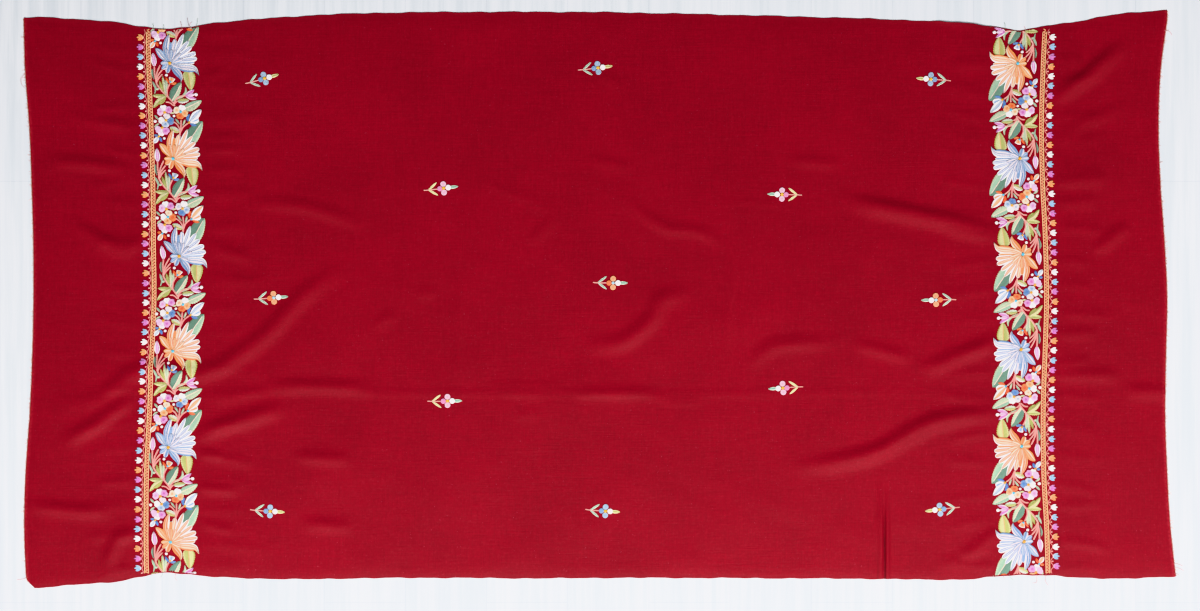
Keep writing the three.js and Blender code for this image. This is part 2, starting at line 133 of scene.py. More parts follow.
# The folds that stand up from the surface: height, reach on the steep side (on the left as the spine
# runs), reach on the gentle side, and the spine. Each sinks to nothing at both ends of its spine.
FOLDS = [
    # the left end, outside its band
    (4.2, 17, 20, [(-975, 240), (-890, 236), (-806, 220)]),
    (2.0, 17, 20, [(-940, 320), (-815, 301)]),
    (4.5, 17, 21, [(-935, 142), (-845, 92), (-790, 103)]),
    (5.2, 20, 20, [(-945, -256), (-880, -219), (-806, -166)]),
    (4.4, 16, 20, [(-1010, -360), (-930, -369), (-846, -374)]),
    (3.8, 18, 22, [(-866, -485), (-845, -424), (-800, -408)]),
    # from the left end across the band into the field
    (
        5.3, 22, 26,
        [
            (-1010, -186), (-890, -181), (-803, -124), (-690, -129),
            (-588, -66), (-525, 0), (-470, 40), (-424, 64),
        ],
    ),
    # the field beside the left band
    (5.8, 21, 22, [(-716, -246), (-630, -213), (-545, -190)]),
    (3.9, 15, 18, [(-598, -155), (-490, -152), (-385, -159)]),
    (3.2, 17, 20, [(-635, 166), (-546, 165), (-470, 148), (-405, 121)]),
    (1.6, 16, 18, [(-702, 106), (-605, 66)]),
    (2.8, 16, 16, [(-540, -277), (-430, -282)]),
    (2.6, 18, 18, [(-525, -394), (-430, -401)]),
    # the middle
    (2.9, 15, 18, [(25, 184), (110, 126), (170, 118), (232, 88)]),
    (5.4, 22, 24, [(-42, -84), (37, -76), (90, -37), (112, 1), (180, 9)]),
    (2.3, 16, 19, [(-55, -166), (100, -165)]),
    (1.0, 12, 16, [(-220, 211), (-60, 144)]),
    # the field beside the right band
    (6.4, 18, 31, [(415, 176), (560, 148), (720, 112)]),
    (3.0, 20, 19, [(265, -126), (306, -84), (435, -76)]),
    (2.7, 16, 18, [(440, -78), (550, -106)]),
    (5.2, 17, 26, [(555, -127), (630, -99), (705, -65)]),
    (7.2, 19, 28, [(318, -300), (472, -270), (588, -213), (735, -196)]),
    (2.2, 17, 14, [(325, 240), (425, 235)]),
    (3.0, 18, 20, [(628, -458), (705, -400)]),
    # the right end, outside its band
    (7.4, 18, 26, [(783, 341), (855, 393), (920, 452)]),
    (2.0, 17, 20, [(782, 272), (860, 312), (925, 338)]),
    (2.8, 17, 18, [(785, 203), (895, 210)]),
    (4.3, 14, 22, [(862, 80), (925, 133)]),
    (2.8, 14, 20, [(785, -133), (915, -133)]),
    (3.0, 17, 23, [(915, -162), (1000, -162)]),
]

# Finer creases than the solids carry, in the same columns.
CREASES = [
    # ripples that start at the left band
    (2.0, 9, 13, [(-698, 279), (-620, 283)]),
    (2.0, 9, 13, [(-698, 260), (-630, 263)]),
    (2.0, 9, 13, [(-698, 386), (-656, 398)]),
    (2.6, 10, 12, [(-703, -270), (-656, -275)]),
    (3.4, 12, 12, [(-709, -331), (-630, -337)]),
    (2.0, 9, 13, [(-703, -391), (-635, -407)]),
    # the field
    (1.6, 12, 18, [(-10, 396), (42, 370)]),
    (1.6, 12, 18, [(-21, 244), (63, 228)]),
    (1.8, 12, 18, [(-126, 92), (-73, 150)]),
    (1.6, 12, 18, [(-399, -50), (-357, -24)]),
    (1.6, 12, 18, [(-325, 8), (-283, 13)]),
    # small wrinkles between the middle sprigs
    (1.3, 8, 10, [(-205, -150), (-120, -154), (-60, -150)]),
    (1.2, 7, 9, [(-150, -208), (-105, -200)]),
    (1.3, 8, 10, [(66, -166), (130, -180), (196, -176)]),
    (1.2, 8, 10, [(-180, -163), (-90, -172)]),
    (1.2, 7, 9, [(-246, 22), (-244, -40), (-246, -90)]),
    (2.0, 10, 12, [(225, 104), (229, 30), (226, -40), (222, -110)]),
    # the tuck at the bottom edge
    (4.2, 9, 8, [(491.5, -590), (491.5, -440), (491.5, -395), (491, -318)]),
    (3.8, 6, 9, [(502, -590), (502, -440), (502, -395), (501, -322)]),
    (-3.2, 3.4, 3.4, [(497, -600), (497, -440), (497, -395), (496.5, -330)]),
    (1.2, 6, 8, [(481, -520), (481, -430), (482, -372)]),
    # where it was folded away
    (1.1, 7, 7, [(-1010, -163), (-400, -165), (200, -166), (760, -163)]),
    (0.8, 7, 7, [(185, 167), (350, 167)]),
    (1.0, 7, 7, [(-247, 60), (-247, -158)]),
    (1.3, 7, 7, [(252, 180), (251, -120), (252, -500)]),
]
# Painted shade deep in that tuck, and in the shallower one beside it: how dark the cloth is painted there, in
# the same columns.
TUCK_SHADE_LINES = [
    (1.0, 2.8, 2.8, [(499.5, -600), (498.5, -482), (498, -430), (498, -352)]),
    (0.45, 3.0, 3.0, [(486, -580), (486, -482), (486.5, -415)]),
]
SPINE_STEPS = 24
FOLD_TAPER = 0.35
CALM_REACH = 35  # the cloth lies flatter than elsewhere within this distance of its edges
# One corner is turned under along a slanting line: a point of that line, the way out of the cloth, how
# much is left of what is beyond the line, and how far from the point it is turned.
TURNED_CORNER = {"x": -1003.5, "y": -491, "outX": -0.76, "outY": -0.65, "kept": 0.03, "within": 30}
# The woven edges are never quite straight: within this distance of them, the cloth is moved across by
# waves, each with its height, its length over 2 pi, and the angle that it starts at.
UNEVEN_RIM = 20
RIM_WAVES = [(0.5, 9.1, 0), (0.4, 23.7, 1.3), (0.3, 4.9, 0)]
# The cloth's soft waves: how many, the shortest and longest, and their height.
WAVES = [(9, 150, 420, 0.55), (12, 45, 120, 0.16)]
# Ripples on both sides of a band: where they start from the braid, how long they get, and how high.
PUCKERS = [(100, 120, 1.3), (-30, 95, 1.5)]
PUCKERS_END = 470.0  # they are found this far to either side of the middle
PUCKER_SPACINGS = (34, 62)
PUCKER_WIDTHS = (9, 15)
PUCKER_LENGTHS = (0.45, 1.0)  # as shares of the longest
PUCKER_HEIGHTS = (0.5, 1.25)
PUCKER_SLOPE = 0.22  # how far they slant, up or down, over each millimetre of their length, at most
PUCKER_FAN = 0.00025  # and how much more with each millimetre from the middle
PUCKER_ROOT = 22  # how far back under the stitches they start


def along_table(columns, key, name, at):
    """A column of a table at places between its rows, as a smooth curve."""
    keys, values = columns[key], columns[name]
    if keys[0] > keys[-1]:
        keys, values = keys[::-1], values[::-1]
    last = len(keys) - 1
    at = np.clip(np.asarray(at, float), keys[0], keys[-1])
    i = np.clip(np.searchsorted(keys, at, side="right") - 1, 0, last - 1)
    before, after = np.maximum(i - 1, 0), np.minimum(i + 2, last)
    span = keys[i + 1] - keys[i]
    t = (at - keys[i]) / span
    slope_from = (values[i + 1] - values[before]) / (keys[i + 1] - keys[before])
    slope_to = (values[after] - values[i]) / (keys[after] - keys[i])
    return (
        values[i] * (2 * t**3 - 3 * t**2 + 1)
        + values[i + 1] * (3 * t**2 - 2 * t**3)
        + span * slope_from * (t**3 - 2 * t**2 + t)
        + span * slope_to * (t**3 - t**2)
    )


def smooth(t):
    held = np.clip(t, 0, 1)
    return held * held * (3 - 2 * held)


def smooth_line(points, steps):
    """Points along a Catmull-Rom curve through the given ones."""
    p = np.asarray(points, float)
    last = len(p) - 1
    at = np.linspace(0, last, steps + 1)
    i = np.minimum(at.astype(int), last - 1)
    w = (at - i)[:, None]
    p0, p1, p2, p3 = p[np.maximum(i - 1, 0)], p[i], p[i + 1], p[np.minimum(i + 2, last)]
    v0, v1 = (p2 - p0) / 2, (p3 - p1) / 2
    return (2 * p1 - 2 * p2 + v0 + v1) * w**3 + (-3 * p1 + 3 * p2 - 2 * v0 - v1) * w**2 + v0 * w + p1


def line_x(row, y):
    return row["lieX"] + along_table(WAVER, "y", row["line"], y)


def add_fold(z, x, y, fold):
    """Adds one fold's height to z over the points x, y."""
    height, steep, gentle, points = fold
    spine = smooth_line(points, SPINE_STEPS)
    reach = max(steep, gentle)
    low, high = spine.min(0) - reach, spine.max(0) + reach
    near = (x > low[0]) & (x < high[0]) & (y > low[1]) & (y < high[1])
    px, py = x[near][:, None], y[near][:, None]
    a, run = spine[:-1], np.diff(spine, axis=0)
    t = np.clip(((px - a[:, 0]) * run[:, 0] + (py - a[:, 1]) * run[:, 1]) / (run**2).sum(1), 0, 1)
    away_x, away_y = px - a[:, 0] - t * run[:, 0], py - a[:, 1] - t * run[:, 1]
    distance = np.hypot(away_x, away_y)
    k = distance.argmin(1)
    n = np.arange(len(k))
    side = run[k, 0] * away_y[n, k] - run[k, 1] * away_x[n, k]
    share = (k + t[n, k]) / SPINE_STEPS
    off = distance[n, k] / np.where(side > 0, steep, gentle)
    taper = smooth(share / FOLD_TAPER) * smooth((1 - share) / FOLD_TAPER)
    bell = np.where(off < 1, np.cos(np.pi / 2 * np.minimum(off, 1)) ** 2, 0)
    z[near] += height * taper * bell


def puckers():
    """Small ripples where the dense embroidery draws the cloth in, fanning out on both sides of a band."""
    found = []
    for row, inward in ((CROSS_LINES[1], 1), (CROSS_LINES[2], -1)):
        for start, longest, strength in PUCKERS:
            out = inward if start > 0 else -inward
            y = -PUCKERS_END
            while y < PUCKERS_END:
                x = float(line_x(row, y)) + inward * start
                length = longest * rng.uniform(*PUCKER_LENGTHS)
                rise = rng.uniform(-PUCKER_SLOPE, PUCKER_SLOPE) + PUCKER_FAN * y
                height = strength * rng.uniform(*PUCKER_HEIGHTS)
                width = rng.uniform(*PUCKER_WIDTHS)
                points = [(x - out * PUCKER_ROOT, y), (x + out * length / 2, y + rise * length / 2)]
                points.append((x + out * length, y + rise * length * 1.3))
                found.append((height, width, width * 1.3, points))
                y += rng.uniform(*PUCKER_SPACINGS)
    return found


def ripples(x, y, count, shortest, longest, height):
    """Soft uneven waves, as of cloth that was smoothed out by hand."""
    z = np.zeros_like(x)
    for _ in range(count):
        turn = rng.uniform(0, np.pi)
        length = rng.uniform(shortest, longest)
        phase = rng.uniform(0, 2 * np.pi)
        z += np.sin((x * np.cos(turn) + y * np.sin(turn)) * 2 * np.pi / length + phase)
    return z * height / math.sqrt(count)


def form_height(x, y, calm):
    """The cloth's underside over the floor, in millimetres. Its uneven waves are only as high as calm."""
    z = np.zeros_like(x)
    for fold in FOLDS + CREASES + puckers():
        add_fold(z, x, y, fold)
    waves = sum(ripples(x, y, *wave) for wave in WAVES)
    return np.maximum(z, 0) + calm * np.maximum(waves + 0.25, 0)


def lie(cut_x, cut_y):
    """Where points of the cut cloth lie."""
    top = along_table(WOVEN_EDGES, "x", "top", cut_x)
    bottom = along_table(WOVEN_EDGES, "x", "bottom", cut_x)
    y = bottom + (top - bottom) * (cut_y / CUT_WIDTH + 0.5)
    x = np.zeros_like(y)
    for n, (a, b) in enumerate(zip(CROSS_LINES, CROSS_LINES[1:])):
        here = (cut_x >= a["cutX"] if n else True) & (cut_x < b["cutX"] if n < 2 else True)
        share = (cut_x - a["cutX"]) / (b["cutX"] - a["cutX"])
        x = np.where(here, line_x(a, y) * (1 - share) + line_x(b, y) * share, x)
    corner = TURNED_CORNER
    beyond = np.maximum((x - corner["x"]) * corner["outX"] + (y - corner["y"]) * corner["outY"], 0)
    near = (x < corner["x"] + corner["within"]) & (y < corner["y"] + corner["within"])
    moved = np.where(near, beyond * (1 - corner["kept"]), 0)
    return x - corner["outX"] * moved, y - corner["outY"] * moved


# ---- Making meshes ----


def linear(red, green, blue):
    """A display colour (0 to 255) as linear light."""
    c = np.array([red, green, blue], float) / 255
    return np.where(c <= 0.04045, c / 12.92, ((c + 0.055) / 1.055) ** 2.4)


def make_mesh(name, points, quads, tris=(), colours=None, stitch=None):
    """An object of smooth-shaded faces, its points in millimetres. colours and stitch are for thread()."""
    quads = np.asarray(quads, np.int32).reshape(-1, 4)
    tris = np.asarray(tris, np.int32).reshape(-1, 3)
    mesh = bpy.data.meshes.new(name)
    mesh.vertices.add(len(points))
    mesh.vertices.foreach_set("co", (np.asarray(points, float) * MM).ravel())
    mesh.loops.add(quads.size + tris.size)
    mesh.polygons.add(len(quads) + len(tris))
    starts = np.concatenate([np.arange(len(quads)) * 4, quads.size + np.arange(len(tris)) * 3])
    mesh.polygons.foreach_set("loop_start", starts.astype(np.int32))
    mesh.polygons.foreach_set("vertices", np.concatenate([quads.ravel(), tris.ravel()]))
    mesh.polygons.foreach_set("use_smooth", np.ones(len(starts), bool))
    mesh.update(calc_edges=True)
    if colours is not None:
        rgba = np.ones((len(points), 4))
        rgba[:, :3] = colours
        layer = mesh.color_attributes.new("thread", "FLOAT_COLOR", "POINT")
        layer.data.foreach_set("color", rgba.ravel())
    if stitch is not None:
        layer = mesh.attributes.new("stitch", "FLOAT_VECTOR", "POINT")
        layer.data.foreach_set("vector", np.column_stack([stitch, np.zeros(len(points))]).ravel())
    made = bpy.data.objects.new(name, mesh)
    scene.collection.objects.link(made)
    return made


def flat_map(made, points):
    """Lays the piece's map out as seen from above, over the range of its points in millimetres."""
    mesh = made.data
    corner = np.zeros(len(mesh.loops), np.int32)
    mesh.loops.foreach_get("vertex_index", corner)
    co = np.zeros(len(mesh.vertices) * 3)
    mesh.vertices.foreach_get("co", co)
    low, high = points.min(0)[:2], points.max(0)[:2]
    uv = (co.reshape(-1, 3)[corner, :2] / MM - low) / (high - low)
    layer = mesh.uv_layers.new(name="OFBake")
    layer.data.foreach_set("uv", np.clip(uv, 0.002, 0.998).ravel())


def grid_quads(rows, columns, base=0, ring=False):
    """Faces over a grid of points, given row by row; a ring's last column meets its first."""
    i = np.arange(rows - 1)[:, None] * columns + base
    j = np.arange(columns if ring else columns - 1)[None, :]
    k = (j + 1) % columns
    return np.stack([i + j, i + k, i + columns + k, i + columns + j], -1).reshape(-1, 4)


# ---- The cloth ----


def cut_columns():
    edges = [-CUT_LENGTH / 2]
    for to, cell in CELLS:
        count = max(1, round((to - edges[-1]) / cell))
        edges.extend(np.linspace(edges[-1], to, count + 1)[1:])
    return np.array(edges)


def with_narrow_ends(edges):
    """The same cells, with one narrow cell more at either end, so that the rim turns sharply."""
    return np.concatenate([edges[:1], [edges[0] + RIM_CELL], edges[1:-1], [edges[-1] - RIM_CELL], edges[-1:]])


cut_x = with_narrow_ends(cut_columns())
cut_y = with_narrow_ends(np.linspace(-CUT_WIDTH / 2, CUT_WIDTH / 2, ROWS + 1))
grid_x, grid_y = np.meshgrid(cut_x, cut_y, indexing="ij")
lie_x, lie_y = lie(grid_x, grid_y)
rim = smooth((np.abs(grid_y) - (CUT_WIDTH / 2 - UNEVEN_RIM)) / UNEVEN_RIM) * np.sign(grid_y)
lie_y = lie_y + rim * sum(height * np.sin(grid_x / length + phase) for height, length, phase in RIM_WAVES)
# distances from the woven edges and from the cut ends
from_selvedge, from_end = CUT_WIDTH / 2 - np.abs(grid_y), CUT_LENGTH / 2 - np.abs(grid_x)
calm = smooth(np.minimum(from_selvedge, from_end) / CALM_REACH)
lie_z = form_height(lie_x.ravel(), lie_y.ravel(), calm.ravel()).reshape(lie_x.shape)

across, down = grid_x.shape
low_side = np.stack([lie_x, lie_y, lie_z], -1).reshape(-1, 3)
wall = RIM_WALL + (CLOTH_WALL - RIM_WALL) * smooth(np.minimum(from_selvedge, from_end) / THINNED)
high_side = low_side + wall.reshape(-1, 1) * [0, 0, 1]
count = across * down
high_quads = grid_quads(across, down, count)[:, ::-1]
low_quads = grid_quads(across, down)
last = count - down
sides = [(0, down - 1, 1), (down - 1, count - 1, down), (count - 1, last, -1), (last, 0, -down)]
walk = np.concatenate([np.arange(*side) for side in sides])
around = np.roll(walk, -1)
rim_quads = np.stack([walk, walk + count, around + count, around], 1)
cloth_points = np.concatenate([low_side, high_side])
cloth_faces = np.concatenate([high_quads, low_quads, rim_quads])
cloth = make_mesh("wool_cloth_sheet", cloth_points, cloth_faces)
cloth.data.polygons.foreach_set("use_smooth", np.arange(len(cloth_faces)) < len(cloth_faces) - len(rim_quads))

# painted shade: how much darker the wool is painted in the creases of the tucks
painted_tuck_shade = np.zeros(lie_x.size)
for line in TUCK_SHADE_LINES:
    add_fold(painted_tuck_shade, lie_x.ravel(), lie_y.ravel(), line)

for name, values in (("from_selvedge", from_selvedge), ("from_end", from_end), ("painted_tuck_shade", painted_tuck_shade)):
    layer = cloth.data.attributes.new(name, "FLOAT", "POINT")
    layer.data.foreach_set("value", np.tile(values.ravel(), 2))

MAPPED = (2030, 1026)  # what the cloth's map covers, a little more than the cloth


def cloth_map():
    """Lays the cloth's map out as seen from above: its upper face over the upper half of the map, with the
    rim round it, and its underside over the lower half."""
    upper = np.ones((len(cloth_faces), 4))
    upper[len(high_quads) : -len(rim_quads)] = 0
    at = cloth_points[cloth_faces, :2]
    outwards = np.zeros((across, down, 2))
    outwards[[0, -1], :, 0] = [[-1], [1]]
    outwards[:, [0, -1], 1] = [-1, 1]
    at[-len(rim_quads) :, [0, 3]] += outwards.reshape(-1, 2)[rim_quads[:, [0, 3]]]
    u, v = (at[..., n] / MAPPED[n] + 0.5 for n in range(2))
    layer = cloth.data.uv_layers.new(name="OFBake")
    layer.data.foreach_set("uv", np.stack([u, (v + upper) / 2], -1).ravel())


upper_face = BVHTree.FromPolygons(high_side.tolist(), (high_quads - count).tolist())


def cloth_top(x, y):
    """Height of the cloth's upper face under each point; points off the cloth get -1."""
    found = np.full(len(x), -1.0)
    down_ray = Vector((0, 0, -1))
    for n, (px, py) in enumerate(zip(x.tolist(), y.tolist())):
        hit = upper_face.ray_cast(Vector((px, py, 100.0)), down_ray)[0]
        if hit is not None:
            found[n] = hit.z
    return found


# ---- Materials ----


class Nodes:
    """A material's nodes, put together one call at a time."""

    MIX_SOCKETS = (0, 6, 7)  # the share and the two colours of a mix node, which has sockets for all types
    MIX_COLOUR = 2

    def __init__(self, name):
        self.material = bpy.data.materials.new(name)
        self.material.use_nodes = True
        self.tree = self.material.node_tree
        self.shader = self.tree.nodes["Principled BSDF"]
        self.place = self.add("ShaderNodeTexCoord").outputs["Object"]

    def add(self, kind, inputs=None, **settings):
        node = self.tree.nodes.new(kind)
        for name, value in settings.items():
            setattr(node, name, value)
        for name, value in (inputs or {}).items():
            self.feed(node.inputs[name], value)
        return node

    def feed(self, socket, value):
        if isinstance(value, bpy.types.NodeSocket):
            self.tree.links.new(value, socket)
        else:
            socket.default_value = value

    def set(self, name, value):
        self.feed(self.shader.inputs[name], value)

    def noise(self, scale, stretch=(1, 1, 1), detail=2.0, rough=0.5):
        """Noise whose grains are 1 / scale metres, longer where stretch is small."""
        mapped = self.add("ShaderNodeMapping", {"Vector": self.place, "Scale": stretch}).outputs[0]
        inputs = {"Vector": mapped, "Scale": scale, "Detail": detail, "Roughness": rough}
        return self.add("ShaderNodeTexNoise", inputs).outputs["Fac"]

    def math(self, operation, a, b=0.0):
        node = self.add("ShaderNodeMath", operation=operation)
        for socket, value in zip(node.inputs, (a, b, 0.0)):
            self.feed(socket, value)
        return node.outputs[0]

    def times(self, a, b):
        return self.math("MULTIPLY", a, b)

    def span(self, value, low, high, to_low=0.0, to_high=1.0):
        inputs = {"Value": value, "From Min": low, "From Max": high, "To Min": to_low, "To Max": to_high}
        return self.add("ShaderNodeMapRange", inputs, interpolation_type="SMOOTHSTEP").outputs[0]

    def mix(self, share, a, b, blend="MIX"):
        node = self.add("ShaderNodeMix", data_type="RGBA", blend_type=blend)
        for socket, value in zip(self.MIX_SOCKETS, (share, a, b)):
            self.feed(node.inputs[socket], value)
        return node.outputs[self.MIX_COLOUR]

    def shade(self, colour, value):
        """A colour made lighter or darker by a value round 1."""
        grey = self.add("ShaderNodeCombineColor", {"Red": value, "Green": value, "Blue": value}).outputs[0]
        return self.mix(1.0, colour, grey, "MULTIPLY")

    def bump(self, height, distance, strength=1.0):
        inputs = {"Height": height, "Distance": distance, "Strength": strength}
        self.set("Normal", self.add("ShaderNodeBump", inputs).outputs[0])

    def attribute(self, name, output="Fac"):
        return self.add("ShaderNodeAttribute", attribute_name=name).outputs[output]


def rgba(red, green, blue):
    return (*linear(red, green, blue), 1.0)


WOOL_RED = (126, 2, 22)


def wool():
    """Fine plain-woven wool: uneven yarns both ways, a soft nap, pale lint and a firm selvedge, with painted
    shade in the tucks, a painted sheen on the nap and painted light towards the woven edges.
    """
    m = Nodes("crimson_wool")
    along = m.noise(1100, (0.02, 1, 1), 3, 0.65)
    across_yarn = m.noise(1100, (1, 0.025, 1), 3, 0.65)
    slubs = m.math("ADD", along, across_yarn)
    cloudy = m.noise(5.5, detail=4, rough=0.6)
    nap = m.noise(260, detail=5, rough=0.75)
    tone = m.span(slubs, 0.75, 1.25, 0.89, 1.11)
    tone = m.times(tone, m.span(cloudy, 0.3, 0.7, 0.94, 1.06))
    tone = m.times(tone, m.span(nap, 0.25, 0.75, 0.93, 1.07))
    # painted shade: the wool is painted darker deep in the tucks
    tone = m.times(tone, m.span(m.attribute("painted_tuck_shade"), 0, 1, 1, 0.45))
    colour = m.shade(rgba(*WOOL_RED), tone)
    # pale fluff on the nap, partly a painted sheen of its whitish shine
    fluff_and_sheen = m.span(m.noise(210, detail=3, rough=0.7), 0.48, 0.72, 0, 0.055)
    colour = m.mix(fluff_and_sheen, colour, rgba(200, 84, 96))
    selvedge = m.attribute("from_selvedge")
    line = m.times(m.span(selvedge, 2.2, 3.0), m.span(selvedge, 5.2, 4.2))
    colour = m.mix(m.times(line, 0.12), colour, rgba(96, 0, 12))
    # painted light: a faint pale tint towards the woven edges, lifting the shade on their thinning slope
    colour = m.mix(m.span(selvedge, 12.0, 0.5, 0, 0.022), colour, rgba(232, 150, 152))
    near_end = m.span(m.attribute("from_end"), 8.0, 0.0)
    worn = m.times(near_end, m.span(m.noise(300), 0.35, 0.65, 0.1, 1))
    colour = m.mix(m.times(worn, 0.42), colour, rgba(190, 70, 80))
    specks = m.span(m.noise(330, detail=1), 0.755, 0.8)
    colour = m.mix(m.times(specks, 0.35), colour, rgba(180, 96, 112))
    m.set("Base Color", colour)
    m.set("Roughness", 0.52)
    m.set("Specular IOR Level", 0.2)
    m.set("Sheen Weight", 0.04)
    m.set("Sheen Roughness", 0.45)
    m.set("Sheen Tint", rgba(255, 170, 180))
    relief = m.math("ADD", slubs, m.times(nap, 0.7))
    m.bump(relief, 0.0005, 0.7)
    return m.material


def thread(name):
    """Twisted embroidery yarn in the colours that its points carry. Their stitch attribute tells how near a
    point is to the back of its row, and to the middle of its chain link: the rows are round, with painted
    shade in the valleys between them, and draw in where one link ends and the next begins."""
    m = Nodes(name)
    where = m.add("ShaderNodeSeparateXYZ", {"Vector": m.attribute("stitch", "Vector")})
    back, link = where.outputs["X"], where.outputs["Y"]
    aside = m.math("DIVIDE", m.math("SUBTRACT", 1.0, back), m.span(link, 0, 1, 0.8, 1.0))
    under_root = m.math("MAXIMUM", m.math("SUBTRACT", 1.0, m.times(aside, aside)), 0)
    roundness = m.math("SQRT", under_root)
    # painted shade: the colour darkens in the valleys between rows
    valley_shade = m.span(roundness, 0.0, 0.75, 0.62, 1.0)
    uneven = m.span(m.noise(700, detail=3), 0.3, 0.7, 0.92, 1.08)
    colour = m.shade(m.attribute("thread", "Color"), m.times(valley_shade, uneven))
    m.set("Base Color", colour)
    m.set("Roughness", 0.6)
    m.set("Specular IOR Level", 0.3)
    m.set("Sheen Weight", 0.1)
    m.set("Sheen Roughness", 0.4)
    plies = m.times(m.noise(1900, (1, 0.5, 1), 2), 0.3)
    relief = m.math("ADD", m.times(roundness, m.span(link, 0, 1, 0.75, 1.0)), plies)
    m.bump(relief, 0.0005, 0.9)
    return m.material


cloth.data.materials.append(wool())
cloth_map()
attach(cloth, "root")
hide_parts("shawl_cloth")

# ---- Stitching ----

ROW = 1.35  # width of a row of chain stitch
LINK = 1.3  # half of one chain link
RIB = 1.15  # spacing of the satin stitches in a leaf
LIFT = 0.35  # how far the stitches' own ground stands over the cloth
RISE = 0.5  # how far a stitch's back stands over that ground
LAYER = 0.45  # how much higher the stitches lie that cover others
SKIRT = -0.1  # where the rim of each patch of stitches sinks to
DRAWN_IN = 0.2  # how much lower a row is where two links meet
VALLEY = 0.12  # how far the valley between two rows stands up, as a share of RISE
SINK = 0.8  # how much of its height a run of stitches gains in the first step from an end
THINNEST = 0.12  # least half width of a petal
LEAF_THINNEST = 0.05  # and of a leaf

# Thread colours, as displayed.
THREADS = {
    "white": (255, 248, 248),
    "lilac": (240, 224, 226),
    "pale blue": (198, 204, 218),
    "blue": (140, 170, 208),
    "deep blue": (112, 144, 190),
    "dark blue": (82, 128, 192),
    "cream": (255, 234, 208),
    "peach": (252, 198, 148),
    "orange": (250, 160, 90),
    "deep orange": (242, 134, 74),
    "dark orange": (238, 96, 42),
    "blush": (240, 200, 230),
    "pink": (226, 160, 208),
    "orchid": (206, 112, 186),
    "stem": (230, 138, 132),
    "pale stem": (242, 184, 172),
    "lime": (206, 202, 146),
    "moss": (172, 172, 96),
    "mint": (190, 201, 170),
    "sage": (154, 184, 158),
    "teal": (102, 138, 118),
    "vein": (240, 204, 188),
    "yellow": (253, 182, 28),
    "sky": (96, 200, 228),
    "sky blue": (150, 194, 226),
    "straw": (242, 232, 180),
    "frost": (216, 228, 206),
    "jade": (122, 168, 148),
    "soft blue": (166, 188, 210),
    "grey blue": (146, 172, 204),
    "cornflower": (128, 160, 198),
    "rose": (244, 200, 218),
    "deep rose": (238, 166, 196),
    "mallow": (232, 148, 194),
    "apricot": (246, 178, 130),
    "coral": (246, 160, 106),
    "tangerine": (246, 132, 76),
    "pale sky": (178, 214, 226),
    "gold": (255, 198, 44),
    "ochre": (252, 208, 148),
    "brick": (240, 134, 98),
    "honey": (222, 160, 112),
    "loose pink": (226, 160, 160),
    "loose red": (255, 168, 140),
    "loose grey": (176, 126, 126),
    "loose green": (150, 178, 154),
}
EXPOSURE = 1.08  # how much lighter the studio light shows a thread
TOE = 0.035  # how much the view darkens a deep colour
DYED = {name: (linear(*value) + TOE) / EXPOSURE for name, value in THREADS.items()}

# The two big flowers of the repeat and their small companions use each other's colours.
ROLE_NAMES = ("rim", "light", "main", "deep", "dark", "eye")
ROLES = {
    "blue": dict(zip(ROLE_NAMES, ("lilac", "pale blue", "blue", "deep blue", "dark blue", "yellow"))),
    "orange": dict(zip(ROLE_NAMES, ("cream", "peach", "orange", "deep orange", "dark orange", "sky"))),
}
OTHER = {"blue": "orange", "orange": "blue"}


def colours_of(names, role):
    """The colours of a list of threads, such as "white, main, other dark": main is that colour of this unit's
    big flower, and other dark is the dark one of the other flower."""
    colours = []
    for name in names.split(", "):
        whose = OTHER[role] if name.startswith("other ") else role
        name = name.removeprefix("other ")
        colours.append(DYED[ROLES[whose].get(name, name)])
    return colours


def finish_piece(made, points, material, node):
    """Gives a stitched or frayed piece its material and map, joins it to the root, and hides the part that it
    stands for.
    """
    made.data.materials.append(material)
    flat_map(made, points)
    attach(made, "root")
    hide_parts(node)


def facing_up(faces, points):
    """The same faces, with those turned over that look down."""
    a, b, c = (points[faces[:, n]] for n in range(3))
    turned = np.cross(b - a, c - b)[:, 2] < 0
    faces[turned] = faces[turned, ::-1]
    return faces


EDGE_MARGIN = 1.5  # the stitches stop this far inside the woven edges


